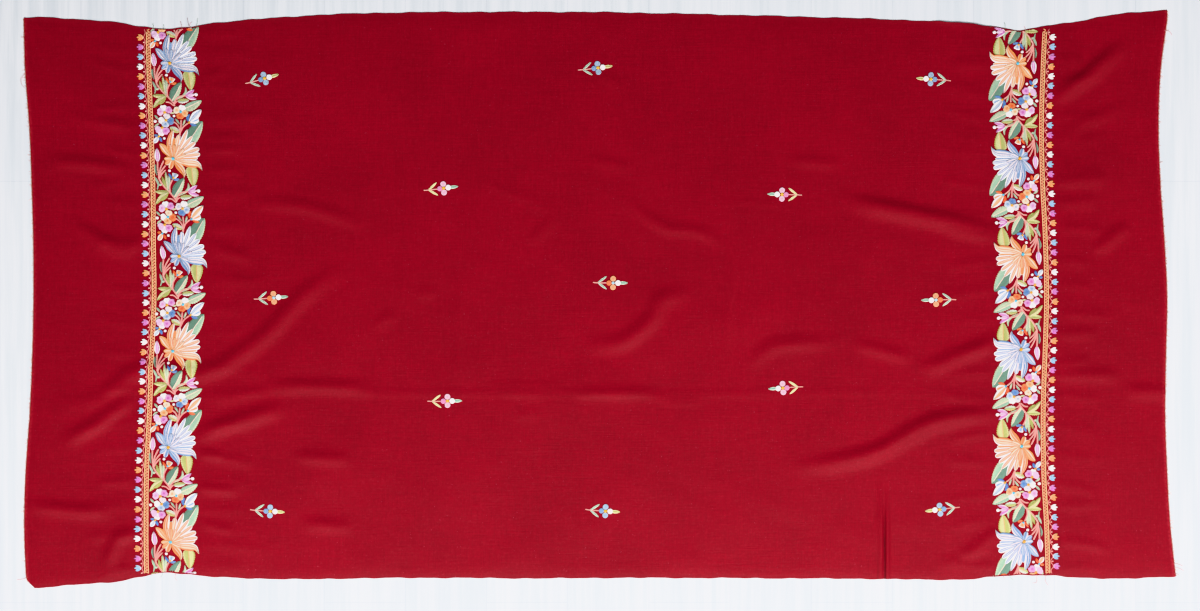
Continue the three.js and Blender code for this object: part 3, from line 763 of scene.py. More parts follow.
class Stitching:
    """One piece of embroidery: patches of stitches, laid over the cloth."""

    def __init__(self):
        self.role = "blue"  # the big flower whose colours main, deep and so on are
        self.patches, self.quads, self.tris = [], [], [np.zeros((0, 3), int)]
        self.count = 0

    def add(self, place, across, along, height, colour, back, link, ring=False, middle=None):
        """A grid of points (rows by columns) in the pattern's own millimetres. back and link place each point
        in its stitch, as thread() wants. A ring closes on itself and is filled in round middle, which is
        (across, along, height, colour)."""
        rows, columns = across.shape
        self.quads.append(grid_quads(rows, columns, self.count, ring))
        at = np.stack([across, along, height], -1)
        stitch = np.stack(np.broadcast_arrays(back, link, across)[:2], -1)
        patch = np.concatenate([at, colour, stitch], -1).reshape(rows * columns, -1)
        if middle is not None:
            patch = np.vstack([patch, (*middle[:3], *middle[3], 1, 1)])
            k = np.arange(columns)
            last = self.count + (rows - 1) * columns
            tip = np.full(columns, self.count + rows * columns)
            self.tris.append(np.stack([last + k, last + (k + 1) % columns, tip], 1))
        patch[:, 0], patch[:, 1] = place(patch[:, 0], patch[:, 1])
        patch[:, 3:6] *= 1 + rng.uniform(-0.05, 0.05)
        self.patches.append(patch)
        self.count += len(patch)

    def make(self, name, slot, node):
        patches = np.concatenate(self.patches)
        x, y, height = patches[:, :3].T
        ground = cloth_top(x, y)
        top, bottom = (along_table(WOVEN_EDGES, "x", edge, x) for edge in ("top", "bottom"))
        on = (ground >= 0) & (y < top - EDGE_MARGIN) & (y > bottom + EDGE_MARGIN)
        points = np.stack([x, y, ground + height], 1)
        quads, tris = (np.concatenate(faces) for faces in (self.quads, self.tris))
        quads, tris = (facing_up(faces[on[faces].all(1)], points) for faces in (quads, tris))
        used = np.zeros(len(points), bool)
        used[quads.ravel()] = True
        used[tris.ravel()] = True
        renumber = np.cumsum(used) - 1
        points, look = points[used], patches[used, 3:]
        made = make_mesh(name, points, renumber[quads], renumber[tris], look[:, :3], look[:, 3:])
        finish_piece(made, points, YARN, node)


def run_of(path, bow, steps):
    """Points along a run, and the direction across it at each, to its right. A straight run may be bowed."""
    path = np.array(path, float)
    if len(path) == 2:
        run = path[1] - path[0]
        right = np.array([-run[1], run[0]]) / np.hypot(*run)
        path = np.array([path[0], (path[0] + path[1]) / 2 + right * bow, path[1]])
    points = smooth_line(path, steps)
    heading = np.gradient(points, axis=0)
    heading /= np.maximum(np.linalg.norm(heading, axis=1, keepdims=True), 1e-9)
    return points, np.stack([-heading[:, 1], heading[:, 0]], 1)


def length_of(path):
    return np.hypot(*np.diff(np.array(path, float), axis=0).T).sum()


def swell(u, peak, foot, blunt):
    """A petal's half width along it, as a share of the greatest."""
    rising = foot + (1 - foot) * smooth(u / peak)
    falling = (1 - np.clip((u - peak) / (1 - peak), 0, 1) ** 2) ** (1.25 - 0.75 * blunt)
    return np.where(u < peak, rising, falling)


def chain_profile(rows):
    """Across rows of chain stitch: heights, and how near each point is to the back of its row."""
    back = np.arange(2 * rows + 1) % 2
    return LIFT + RISE * np.where(back, 1.0, VALLEY), back.astype(float)


def links_of(points):
    """Along a row: how near each point is to the middle of its chain link."""
    return (np.arange(points) + 1.0) % 2


def chain_rows(out, place, path, bow, half, colours, layer):
    """Rows of chain stitch along a run, with its half width and the colours across it at each step. They are
    let down to the cloth at both ends and along both sides."""
    steps, rows = len(half) - 1, colours.shape[1] // 2
    line, aside = run_of(path, bow, steps)
    u = np.linspace(0, 1, steps + 1)
    v = np.linspace(-1, 1, 2 * rows + 1)
    across = line[:, :1] + aside[:, :1] * half[:, None] * v
    along = line[:, 1:] + aside[:, 1:] * half[:, None] * v
    height, back = chain_profile(rows)
    link = links_of(steps + 1)[:, None]
    heights = height * (1 - DRAWN_IN * (1 - link)) + layer * LAYER
    heights = SKIRT + (heights - SKIRT) * np.minimum(1, np.minimum(u, 1 - u) * steps * SINK)[:, None]
    heights[:, [0, -1]] = SKIRT
    out.add(place, across, along, heights, colours, back[None, :], link)


def row_colours(colours, rows):
    """The colour of each row from side to side, as a list of points over the chain profile."""
    picked = np.minimum((np.arange(rows) + 0.5) / rows * len(colours), len(colours) - 1).astype(int)
    wanted = np.asarray(colours)[picked]
    spread = np.zeros((2 * rows + 1, 3))
    spread[1::2] = wanted
    spread[0], spread[-1] = wanted[0], wanted[-1]
    spread[2:-1:2] = (wanted[:-1] + wanted[1:]) / 2
    return spread


HEART_REACH = 0.35  # how far along a petal its heart's colour goes
HEART_SHARE = 0.6
TIP_ROWS = 1.9  # how far back from its tip the rims begin to meet, in rows


def petal(out, place, path, half, bow, peak, blunt, rows, layer=0, heart=None, foot=0.4):
    """Rows of chain stitch that run along a petal, base first. rows are their colours, from left to right of
    the run; like rims on both sides also go round the tip. heart is the colour that the rows start in."""
    length = length_of(path)
    steps = max(5, round(length / LINK))
    u = np.linspace(0, 1, steps + 1)
    width = np.maximum(half * swell(u, peak, foot, blunt), THINNEST)
    threads = colours_of(rows, out.role)
    across = row_colours(threads, max(2, round(2 * half / ROW)))
    colours = np.repeat(across[None], steps + 1, 0)
    names = rows.split(", ")
    if len(names) > 2 and names[0] == names[-1]:
        share = smooth((u - 1) * length / ROW + TIP_ROWS)[:, None, None]
        colours = colours * (1 - share) + threads[0] * share
    if heart:
        share = smooth(1 - u / HEART_REACH)[:, None, None] * HEART_SHARE
        colours = colours * (1 - share) + colours_of(heart, out.role)[0] * share
    chain_rows(out, place, path, bow, width, colours, layer)


STEM_END = 0.45  # the width of a stem's ends, as a share
STEM_TAPER = 1.6  # within this many steps of them


def stem(out, place, path, width, names, layer=0):
    """Rows of chain stitch along a line through the given points."""
    steps = max(4, round(length_of(path) / LINK))
    u = np.linspace(0, 1, steps + 1)
    half = width / 2 * (STEM_END + (1 - STEM_END) * smooth(np.minimum(u, 1 - u) * steps / STEM_TAPER))
    threads = colours_of(names, out.role)
    colours = np.repeat(row_colours(threads, len(threads))[None], steps + 1, 0)
    chain_rows(out, place, path, 0, half, colours, layer)


# Dents in the rim of a round petal: how far round it from its far side, how wide, and how deep.
DENTS = [(0, 0.3, 1), (1.05, 0.26, 0.6)]
RING_LINK = 1.3 * LINK  # half of one chain link in its rings
EYE_RISE = 0.7 * RISE  # how far its middle stands over the stitches' ground


def round_petal(out, place, centre, radii, facing, rows, layer=0, notch=0.0, taper=0.0, dome=0.0):
    """Rings of chain stitch round a centre. radii are along and across the way that it faces; rows are the
    colours from its rim inwards; notch draws the rim in at its far side, and taper narrows its near side."""
    count = max(1, round(min(radii) / ROW))
    columns = max(12, 2 * round(math.pi * max(radii) / RING_LINK))
    turn = np.linspace(0, 2 * np.pi, columns, endpoint=False)
    turned = np.minimum(turn, 2 * np.pi - turn)
    dip = 1 - notch * sum(depth * np.exp(-(((turned - at) / wide) ** 2)) for at, wide, depth in DENTS)
    narrowed = 1 - taper * smooth(-np.cos(turn))
    shape_out, shape_side = radii[0] * np.cos(turn) * dip, radii[1] * np.sin(turn) * narrowed
    height, back = (part[: 2 * count, None] for part in chain_profile(count))
    r = (1 - np.arange(2 * count) / (2 * count))[:, None]
    facing = np.array(facing, float) / np.hypot(*facing)
    across = centre[0] + r * (shape_out * facing[0] - shape_side * facing[1])
    along = centre[1] + r * (shape_out * facing[1] + shape_side * facing[0])
    link = links_of(columns)[None, :]
    heights = height * (1 - DRAWN_IN * (1 - link)) + dome * (1 - r**2) + layer * LAYER
    heights[0] = SKIRT
    threads = colours_of(rows, out.role)
    colours = np.repeat(row_colours(threads, 2 * count)[: 2 * count, None], columns, 1)
    middle = (*centre, LIFT + EYE_RISE + dome + layer * LAYER, threads[-1])
    out.add(place, across, along, heights, colours, back, link, ring=True, middle=middle)


KNOT_OVAL = 0.94  # a knot's width, as a share of its length
KNOT_DOME = 0.35


def knot(out, place, centre, radius, name, layer=0):
    round_petal(out, place, centre, (radius, radius * KNOT_OVAL), (1, 0), name, layer, dome=KNOT_DOME)


TOOTH_STEPS = 6  # points along each tooth of a leaf's rim
TOOTH = 1.3  # depth of the teeth
TOOTH_SHARE = 0.2  # but at most this share of the leaf's half width
TOOTH_OUT = 1.06  # how far out the teeth's points are, as a share of it
# Across a leaf from its vein to its rim: how far out each point is, and how high it stands.
RIB_POINTS = np.array([[0.0, 0.3, 0.62, 0.88, 1.0]])
RIB_RISE = np.array([[0.75, 1.0, 1.0, 0.8, 0.0]])
RIB_START = -0.03  # how far along the leaf a satin stitch starts from its own place, as a share
RIB_LEAN = 0.10  # how much further along it is at the rim
RIB_GROUND = 0.25  # how high the leaf is between two satin stitches, as a share of RISE
RIB_BACK = 0.6  # how much higher their backs are
RIB_GAP = 0.045  # how much less far out the leaf is between them, as a share
LEAF_FOOT = 0.55  # how wide its base is, as a share of the greatest width
LEAF_BLUNT = 0.35  # 0 for a pointed tip, 1 for a round one
RIM_FROM = 0.55  # how far out the rim's colour starts, as a share
RIM_OVER = 0.3  # and over how much of the width it comes in
VEIN_WIDTH = 2.3
VEIN_LAYER = 0.8  # how many layers the vein lies over its leaf


def leaf(out, place, base, tip, bow, left, right, threads, vein_span, layer):
    """A leaf of slanting satin stitches on either side of its vein, with a toothed rim. left and right are
    the sides of the run from base to tip, each (half width, where it is widest). threads are the left side's
    rim and fill, the right side's, and the vein's, where it has one. vein_span is the share that it spans."""
    left_rim, left_fill, right_rim, right_fill, *vein = colours_of(threads, out.role)
    steps = 2 * max(4, round(length_of((base, tip)) / RIB))
    line, aside = run_of((base, tip), bow, steps)
    u = np.linspace(0, 1, steps + 1)
    back = (np.arange(steps + 1) % 2)[:, None]
    tooth = (np.arange(steps + 1) % TOOTH_STEPS / (TOOTH_STEPS - 1))[:, None]
    v = RIB_POINTS
    slant = np.clip(u[:, None] + RIB_LEAN * v + RIB_START, 0, 1)
    at = slant * steps
    i = np.minimum(at.astype(int), steps - 1)
    w = (at - i)[..., None]
    ground = line[i] * (1 - w) + line[i + 1] * w
    away = aside[i] * (1 - w) + aside[i + 1] * w
    heights = LIFT + layer * LAYER + RIB_RISE * RISE * (RIB_GROUND + RIB_BACK * back)
    heights = np.where(v == 1, SKIRT, heights)
    share = smooth((v - RIM_FROM) / RIM_OVER)[..., None]
    sides = ((-1, left, left_rim, left_fill), (1, right, right_rim, right_fill))
    for sign, (half, peak), rim_colour, fill in sides:
        cut = min(TOOTH_SHARE, TOOTH / half) * (1 - tooth) * v**2
        shape = swell(slant, peak, LEAF_FOOT, LEAF_BLUNT) * v * (1 - RIB_GAP * (1 - back))
        reach = np.maximum(half * shape * (TOOTH_OUT - cut), LEAF_THINNEST * v)
        across = ground[..., 0] + sign * away[..., 0] * reach
        along = ground[..., 1] + sign * away[..., 1] * reach
        colours = np.repeat(fill * (1 - share) + rim_colour * share, steps + 1, 0)
        out.add(place, across, along, heights, colours, back, 1.0)
    if vein:
        first, last = (round(share * steps) for share in vein_span)
        path, name = line[first : last + 1 : 4], threads.split(", ")[-1]
        stem(out, place, path, VEIN_WIDTH, name, layer + VEIN_LAYER)


# ---- The repeat of the flower band ----
# Millimetres from the big flower's eye: first inwards, away from the braid, then the way the stems grow.

WHITE_ROWS = "white, white, main, rim, deep, white, white"

# path, half width, bow, widest at, blunt, rows from left to right, layer, colour at the heart
BIG_PETALS = [
    (
        [(-3, -2), (-12, -12), (-17.5, -19.5), (-25, -26.4)],
        6.2, 0, 0.52, 0.3, "main, rim, deep, light, main", 1, "main",
    ),
    ([(-3, -6), (-0.5, -51)], 5.8, -4.2, 0.48, 0.2, "light, deep, rim, deep, rim, white", 1, "main"),
    (
        [(3, 1), (20, 7), (35, 8.6), (44, 11.5), (50, 21.4)],
        7.4, 0, 0.46, -0.4, "white, main, rim, deep, rim, light, deep", 2, "main",
    ),
    ([(8, 0), (43, -1)], 3.8, 0, 0.7, 0.7, "white, white, main, rim, white", 1, "light"),
    ([(0, -8), (2.6, -37)], 3.9, 0, 0.6, 0.95, "rim, deep, main, deep, rim", 2, "deep"),
    ([(3, -9), (9.8, -42.5)], 4.2, 0, 0.65, 0.95, "white, main, rim, deep, white", 1, "main"),
    ([(6, -10), (25, -52)], 4.7, 0.8, 0.55, 0.15, WHITE_ROWS, 2, "main"),
    ([(7, -8), (34.5, -40)], 4.7, 0.4, 0.6, 0.35, WHITE_ROWS, 1, "main"),
    ([(8, -7), (38.8, -29)], 4.6, 0.3, 0.65, 0.85, WHITE_ROWS, 2, "light"),
    ([(9, -5), (45.6, -18)], 5, 0.3, 0.7, 0.95, WHITE_ROWS, 1, "light"),
    ([(10, -3), (47.6, -8)], 5, 0, 0.7, 0.95, WHITE_ROWS, 2, "light"),
    (
        [(1, 3), (8.5, 11.5), (14.6, 19), (17.8, 26), (17.6, 33)],
        6, 0, 0.35, -0.15, "rim, main, rim, deep, main", 1, "main",
    ),
    ([(-1, -1), (-16.4, 0.4)], 3.9, 0, 0.6, 0.4, "main, light, rim, main", 2, "light"),
    ([(-2, 1), (-14.6, 10.2)], 4.1, 0, 0.6, 0.4, "rim, main, light, deep", 1, "light"),
    ([(-1, 2), (-6, 17.4)], 4.2, 0, 0.6, 0.7, "light, deep, main, rim", 2, "light"),
    ([(1, 1), (19, 8.6)], 3.4, 0.6, 0.5, 0.4, "rim, deep, rim, main", 3, "main"),
    ([(0, -2), (-5, -26)], 3, -0.6, 0.6, 0.6, "light, deep, rim, deep", 3, "main"),
    ([(1, -2), (3.6, -25)], 3.2, 0.2, 0.6, 0.7, "rim, deep, light, deep", 4, "main"),
    ([(2, -2), (11.6, -24)], 3.3, 0.4, 0.6, 0.6, "rim, deep, rim, deep", 3, "main"),
    ([(3, -1), (20, -17)], 3.4, 0.3, 0.6, 0.6, "rim, deep, rim, main", 4, "main"),
    ([(3, 0), (24.5, -7)], 3.4, 0, 0.6, 0.6, "rim, deep, rim, main", 3, "main"),
]

# path, half width, bow, widest at, blunt, rows, layer
SMALL_PETALS = [
    # the closed bud
    ([(-27.3, 4.8), (-29, -18.8)], 5, 0, 0.36, 0.2, "white, white, orchid, blush, orchid, white", 1),
    # the small open flower on the stem
    ([(-0.8, 36.2), (-9.2, 24.8)], 2.3, -0.8, 0.5, 0.5, "other dark, other dark", 1),
    ([(-0.8, 36), (9.6, 34.4)], 2.4, 0.8, 0.5, 0.5, "other dark, other deep", 1),
    (
        [(0, 34.6), (3.2, 24.6)],
        5.6, 0, 0.8, 1, "white, other light, other main, other main, other light, white", 2,
    ),
    # the tulip
    ([(24, 56), (33, 50.8), (40.5, 45.6)], 3.5, 0, 0.4, 0, "white, pink, orchid, pink", 1),
    ([(24, 57), (34, 61.2), (43, 63)], 3.5, 0, 0.4, 0, "pink, orchid, pink, white", 1),
    ([(26.5, 56.6), (39.5, 54.8)], 2.8, 0, 0.45, 0.4, "white, pink, white", 2),
    # the bell flower
    ([(27, 104), (24.6, 96), (28.8, 89)], 2.8, 0, 0.5, 0.2, "dark, dark", 1),
    ([(28.4, 105), (41.8, 109.2)], 2.6, 1.2, 0.5, 0.2, "deep, dark", 1),
    ([(29, 103.2), (44.8, 98)], 5.2, 0.6, 0.6, 0.9, "white, light, main, white, white", 2),
    (
        [(28.4, 102.4), (49.8, 80.8)],
        6.6, -0.6, 0.45, 0.1, "white, white, main, light, light, white, white", 3,
    ),
    # the small flower beside the braid
    ([(-26.2, 128), (-34.2, 126.8)], 2.5, 0.5, 0.5, 0.3, "dark, deep", 1),
    ([(-25, 129), (-20.4, 138.4)], 2.6, -0.5, 0.5, 0.3, "dark, dark", 1),
    ([(-25.8, 129.2), (-33.8, 140.4)], 4.2, 0, 0.5, 0.3, "white, light, light, white", 2),
]

# centre, half lengths outwards and across, way it faces, rows from the rim in, layer
ROUND_PETALS = [
    ((-15.8, 78.6), (6.4, 6.8), (-0.15, -1), "white, white, blush", 1),
    ((-7.6, 81.4), (6.8, 6.6), (1, -0.5), "pink, orchid, orchid", 2),
    ((-22.2, 84.8), (6.8, 7), (-1, -0.1), "blush, pink, pink", 2),
    ((16.4, 78.4), (6.4, 6.6), (0.3, -1), "white, white, other rim", 1),
    ((6.6, 82.2), (6.6, 6.4), (-1, -0.45), "other rim, other light, other light", 2),
    ((20.6, 87.6), (6.6, 6.4), (1, 0.25), "other light, other main, other light", 2),
    ((11.8, 92.4), (6.2, 7), (-0.25, 1), "other deep, other dark, other dark", 1),
    ((-20.4, 99.8), (6.4, 6.4), (-1, 0), "white, white, rim", 1),
    ((-11.2, 93.2), (6, 6.6), (0.25, -1), "rim, light, light", 2),
    ((-5, 101), (6.6, 7), (1, 0.1), "deep, dark, deep", 1),
    ((-13.8, 106.8), (6.2, 7), (-0.1, 1), "light, main, light", 2),
    ((-26, 116), (6.6, 6.8), (-1, 0.4), "blush, blush, pink", 2),
    ((-13.2, 118.6), (7.2, 6.8), (0.9, 0.8), "pink, orchid, orchid", 2),
    ((-21.2, 121.8), (6.8, 6), (-0.2, 1), "white, blush, white", 1),
]
NOTCH = 0.22  # depth of the dent in those petals' rims
NARROWED = 0.5  # how much narrower they are towards the eye

# centre, radius, colour
KNOTS = [
    ((-7.4, 20.6), 2.6, "white"),
    ((-32, 101.7), 2.9, "white"),
    ((1.4, 92.4), 2.4, "white"),
    ((-15.6, 131.4), 2.5, "white"),
    ((42.4, 55), 3.2, "white"),
    ((-0.6, 33), 2.2, "other eye"),
    ((-14.8, 86.2), 2.7, "yellow"),
    ((13.6, 85.6), 2.7, "other eye"),
    ((-12.9, 100), 2.7, "eye"),
    ((-19.6, 113.4), 2.6, "yellow"),
    ((28, 103.6), 2.3, "eye"),
    ((-25.4, 128.4), 2.1, "eye"),
]

# base, tip, bow, half width of each side and where it is widest, threads, share that the vein spans, layer
LEAVES = [
    ((26, -28), (51, -65.5), 0, (13, 0.4), (12.2, 0.25), "teal, teal, mint, sage, vein", (0.25, 0.9), 0),
    ((31.5, 13), (34, 47.6), 0, (11.2, 0.3), (10.8, 0.22), "moss, lime, lime, moss, honey", (0.1, 0.9), 0),
    ((-1.2, 66), (17.4, 33.6), 1, (11.4, 0.42), (6.4, 0.4), "teal, teal, mint, mint, vein", (0, 0.86), 0),
    ((20, 80), (51.4, 65), 0, (6.8, 0.3), (9.2, 0.35), "sage, sage, mint, mint, vein", (0.1, 0.9), 0),
    ((10, 66.4), (30, 64.8), 0, (4.4, 0.45), (4.6, 0.4), "lime, moss, white, mint", None, 0),
    (
        (10.8, 119.8), (-6.2, 112.2), 0, (5.2, 0.45), (5, 0.5),
        "lime, moss, white, mint, pale stem", (0.1, 0.75), 0,
    ),
    # the three-lobed leaf by the braid
    ((-8.5, 57.5), (-33.6, 56.2), -1, (4.2, 0.45), (4.4, 0.5), "lime, lime, lime, moss", None, 0),
    ((-12, 59.5), (-22.8, 72.5), 0, (4, 0.4), (3.4, 0.4), "moss, moss, moss, moss", None, 0),
    (
        (-10.5, 58.5), (-33.4, 78.4), 2.6, (4.4, 0.45), (4.4, 0.5),
        "moss, moss, lime, lime, vein", (0.1, 0.8), 1,
    ),
    # the feathered leaf inside the fork
    ((-11.7, 56), (-20.6, 29.6), -0.8, (3.2, 0.55), (2.8, 0.5), "moss, moss, moss, moss", None, 0),
    ((-11, 56), (-8.2, 28), 0.6, (2.8, 0.55), (3, 0.55), "mint, mint, mint, mint", None, 0),
    ((-11.4, 56), (-14.2, 22), 0, (3, 0.55), (3, 0.5), "moss, lime, mint, mint, vein", (0.1, 0.6), 1),
]

# Narrow green leaves: path, half width, bow, rows
GREEN_BLADES = [
    ([(-29.4, 28.5), (-31.8, 18), (-31, 9)], 1.9, 0, "sage, teal"),
    ([(-29.8, 53), (-27.6, 43.5), (-30, 37), (-32.4, 30.6)], 2.3, 0, "mint, sage"),
    ([(-28, 45), (-21.8, 44.6)], 2.3, 0, "sage, mint"),
    ([(7.5, 63), (18.5, 57.6), (25, 50.6), (24.6, 40.6)], 2.5, 0, "sage, mint, mint"),
    ([(-25, 99), (-32.8, 90.4)], 2.1, 0, "mint, sage"),
    ([(-25, 105.6), (-33, 112.6)], 2.2, 0.8, "sage, mint"),
    ([(3.2, 86.5), (-5.8, 87.4)], 1.8, 0, "mint, lime"),
    ([(10.8, 106.8), (3, 96.6)], 1.8, 0.5, "mint, sage"),
    ([(16.2, 109.2), (20.4, 98.2)], 1.9, 0.4, "sage, mint"),
]

# path, width
STEMS = [
    ([(-26.2, 29.5), (-27.6, 17), (-27.3, 4.2)], 2.9),
    ([(-26, 29.5), (-23, 16), (-16.6, 2.6)], 2.9),
    ([(-25.6, 31), (-20.6, 20), (-13.2, 11)], 2.8),
    ([(-25.2, 34), (-20.6, 26), (-13.6, 18.8)], 2.7),
    ([(-26.2, 27), (-25.4, 36), (-17.2, 48.7), (-7, 59.1), (1.6, 70.1), (3.1, 75.5)], 3.2),
    ([(1.8, 70.5), (7.8, 61.5), (15.6, 57.4), (25, 56.4)], 2.9),
    ([(2.4, 75), (-5, 69), (-12, 68.4)], 2.7),
    ([(3, 72.5), (6, 68.5), (10, 66)], 2.6),
    ([(-7.2, 58.8), (-7.6, 47), (-2.2, 35.4)], 2.8),
    ([(10.9, 126), (11, 116), (6.4, 107), (-0.5, 102)], 2.7),
    ([(11, 126), (13, 113), (13.4, 98.6)], 2.9),
    ([(11, 124), (17, 111.8), (26, 104.4)], 2.8),
]

UNIT_PITCH = 167.3
# Down each band, the way its stems grow: the place of each big flower's eye, how far in it is from the
# braid, and how far in the middle of the following unit is; the first bud, their spacing, number and first
# colour; and how far the scalloped vine swings out to each bud.
BANDS = [
    {
        "side": "left",
        "line": CROSS_LINES[1],
        "inward": 1,
        "eyes": [
            (411.5, 37, 39.5), (244.5, 36.7, 38), (74, 44.7, 37),
            (-92, 36.6, 40.3), (-260.5, 36.1, 39.7), (-426, 42.7, 41),
        ],
        "buds": (457, -17.2, 55, 0),
        "vineReach": 2.4,
    },
    {
        "side": "right",
        "line": CROSS_LINES[2],
        "inward": -1,
        "eyes": [
            (-425, 40.4, 41), (-258.5, 37.7, 38), (-89, 42.1, 40),
            (77.5, 40.2, 42), (245, 38.5, 40.7), (411, 44.6, 46),
        ],
        "buds": (-468, 17.14, 55, 1),
        "vineReach": 4.2,
    },
]
MIDDLE = 0.56  # share of the unit at which that middle is measured


def nudged(place, amount=0.35):
    """The same placing, off by as much as a hand is."""
    slip = rng.uniform(-amount, amount, 2)
    return lambda across, along: place(across + slip[0], along + slip[1])


def unit_place(band, unit):
    """How a point of one unit of a band's repeat comes to lie on the floor."""
    eyes = np.array(band["eyes"], float)
    last = len(eyes) - 1
    stops = np.concatenate([np.arange(last + 1), np.arange(last + 1) + MIDDLE])
    order = np.argsort(stops)
    distances = np.concatenate([eyes[:, 1], eyes[:, 2]])[order]

    def place(across, along):
        at = unit + along / UNIT_PITCH
        i = np.clip(np.floor(at).astype(int), 0, last - 1)
        y = eyes[i, 0] + (eyes[i + 1, 0] - eyes[i, 0]) * (at - i)
        inward = np.interp(at, stops[order], distances) + across
        return line_x(band["line"], y) + band["inward"] * inward, y

    return place


def stitch_band(band):
    parts = {name: Stitching() for name in ("big_flowers", "small_flowers", "leaves", "stems")}
    flowers, blossoms, leaves, stems = parts.values()
    for unit in range(-1, len(band["eyes"])):
        for part in parts.values():
            part.role = ("blue", "orange")[unit % 2]
        place = unit_place(band, unit)
        for row in LEAVES:
            leaf(leaves, nudged(place), *row)
        for path, half, bow, rows in GREEN_BLADES:
            petal(leaves, nudged(place), path, half, bow, 0.55, 0.4, rows)
        for path, width in STEMS:
            stem(stems, nudged(place), path, width, "pale stem, stem", layer=1)
        for row in SMALL_PETALS:
            petal(blossoms, nudged(place), *row)
        for row in ROUND_PETALS:
            round_petal(blossoms, nudged(place), *row, NOTCH, NARROWED)
        for centre, radius, name in KNOTS:
            knot(blossoms, nudged(place, 0.25), centre, radius, name, layer=1 if name == "white" else 3)
        if unit < 0:
            continue
        for row in BIG_PETALS:
            petal(flowers, nudged(place), *row, foot=0.5)
        knot(flowers, place, (0, 0), 3.0, "eye", layer=5)
    for name, part in parts.items():
        part.make(name + "_" + band["side"], "flower_embroidery", "flower_band_" + band["side"])


# ---- The guard braid, and the row of buds outside it ----

BAND_TOP = 472.0
BAND_BOTTOM = -481.0
RUNG = 2.6  # how far down each slanting stitch of the braid's zigzag reaches


def down_place(band):
    """A point at a distance in from the middle of the braid and a height down the shawl."""
    return lambda across, along: (line_x(band["line"], along) + band["inward"] * across, along)


def stitch_braid(band):
    out = Stitching()
    place = down_place(band)
    rows = np.arange(BAND_BOTTOM, BAND_TOP + 1, 12.0)
    for across, name in ((-3.3, "ochre"), (3.1, "peach")):
        stem(out, place, [(across, y) for y in rows], 1.7, name)
    for n, y in enumerate(np.arange(BAND_BOTTOM + 1, BAND_TOP - RUNG, RUNG)):
        side = 1 if n % 2 else -1
        ends = [(-2.6 * side, y), (2.6 * side, y + RUNG)]
        names = "brick, ochre" if n % 4 < 2 else "brick, peach"
        petal(out, nudged(place, 0.15), ends, 0.95, 0, 0.5, 0.8, names, foot=0.8)
    out.make("guard_braid_rows_" + band["side"], "braid_embroidery", "guard_braid_" + band["side"])


BUD_COLOURS = ["peach, orange", "pink, orchid", "pale blue, sky blue", "white, white"]
VINE = -5.6  # the scalloped vine's distance from the middle of the braid
# Each bud's three pointed petals: where each starts and ends, its half width and layer.
BUD_PETALS = [
    ((-10.8, 1.4), (-18.8, 4.9), 2.3, 1),
    ((-10.8, -1.4), (-18.8, -4.9), 2.3, 1),
    ((-10.6, 0), (-21.4, 0), 2.3, 2),
]


def stitch_buds(band):
    buds, vine = Stitching(), Stitching()
    place = down_place(band)
    first, pitch, count, colour = band["buds"]
    y = np.arange(BAND_BOTTOM, BAND_TOP, abs(pitch) / 10)
    swing = np.abs(np.cos((y - first) * np.pi / pitch)) ** 2.6
    stem(vine, place, np.stack([VINE - band["vineReach"] * swing, y], 1), 1.5, "stem")
    for n in range(count):
        at = first + n * pitch
        names = BUD_COLOURS[(n + colour) % 4]
        here = nudged(place, 0.5)
        stem(vine, here, [(VINE, at + pitch * 0.42), (VINE - 2.2, at + pitch / 2)], 1.3, "stem")
        knot(vine, here, (VINE - 2.8, at + pitch / 2), 1.6, "pale stem", layer=1)
        round_petal(buds, here, (-13.0, at), (4.2, 4.0), (-1, 0), names)
        for base, tip, half, layer in BUD_PETALS:
            path = [(base[0], at + base[1]), (tip[0], at + tip[1])]
            petal(buds, here, path, half, 0, 0.4, 0.3, names, layer, foot=0.6)
    for part, name in ((buds, "tulip_buds_"), (vine, "scalloped_vine_")):
        part.make(name + band["side"], "bud_embroidery", "bud_row_" + band["side"])


# ---- The sprigs in the field ----

# Where each sprig's flower sits, the way the sprig points (degrees from +X) and its flower's colour.
SPRIGS = [
    (-586.6, 385, 15.5, "blue"),
    (-3.6, 403.6, 7, "blue"),
    (578.7, 383.6, 176, "blue"),
    (-273.6, 193, 7, "pink"),
    (318.4, 182.1, 178.5, "pink"),
    (-570.7, 1.4, 4.5, "orange"),
    (22.9, 27.4, -0.5, "orange"),
    (587.7, -2.4, 181.5, "orange"),
    (-267, -179.3, 1, "pink"),
    (320.1, -156.4, 184, "pink"),
    (-577, -372.1, -4, "blue"),
    (9.4, -371.7, -4, "blue"),
    (594.2, -368.9, 187, "blue"),
]
# The threads of each: the side petals' rims and fill, the petal towards the stem, the flower's eye, and the
# rims and fill of the leaves and of the tip.
SPRIG_THREADS = {
    "blue": ("soft blue", "grey blue", "cornflower", "gold", "frost", "jade", "straw", "moss"),
    "pink": ("rose", "deep rose", "mallow", "gold", "straw", "lime", "frost", "jade"),
    "orange": ("apricot", "coral", "tangerine", "pale sky", "frost", "jade", "frost", "jade"),
}


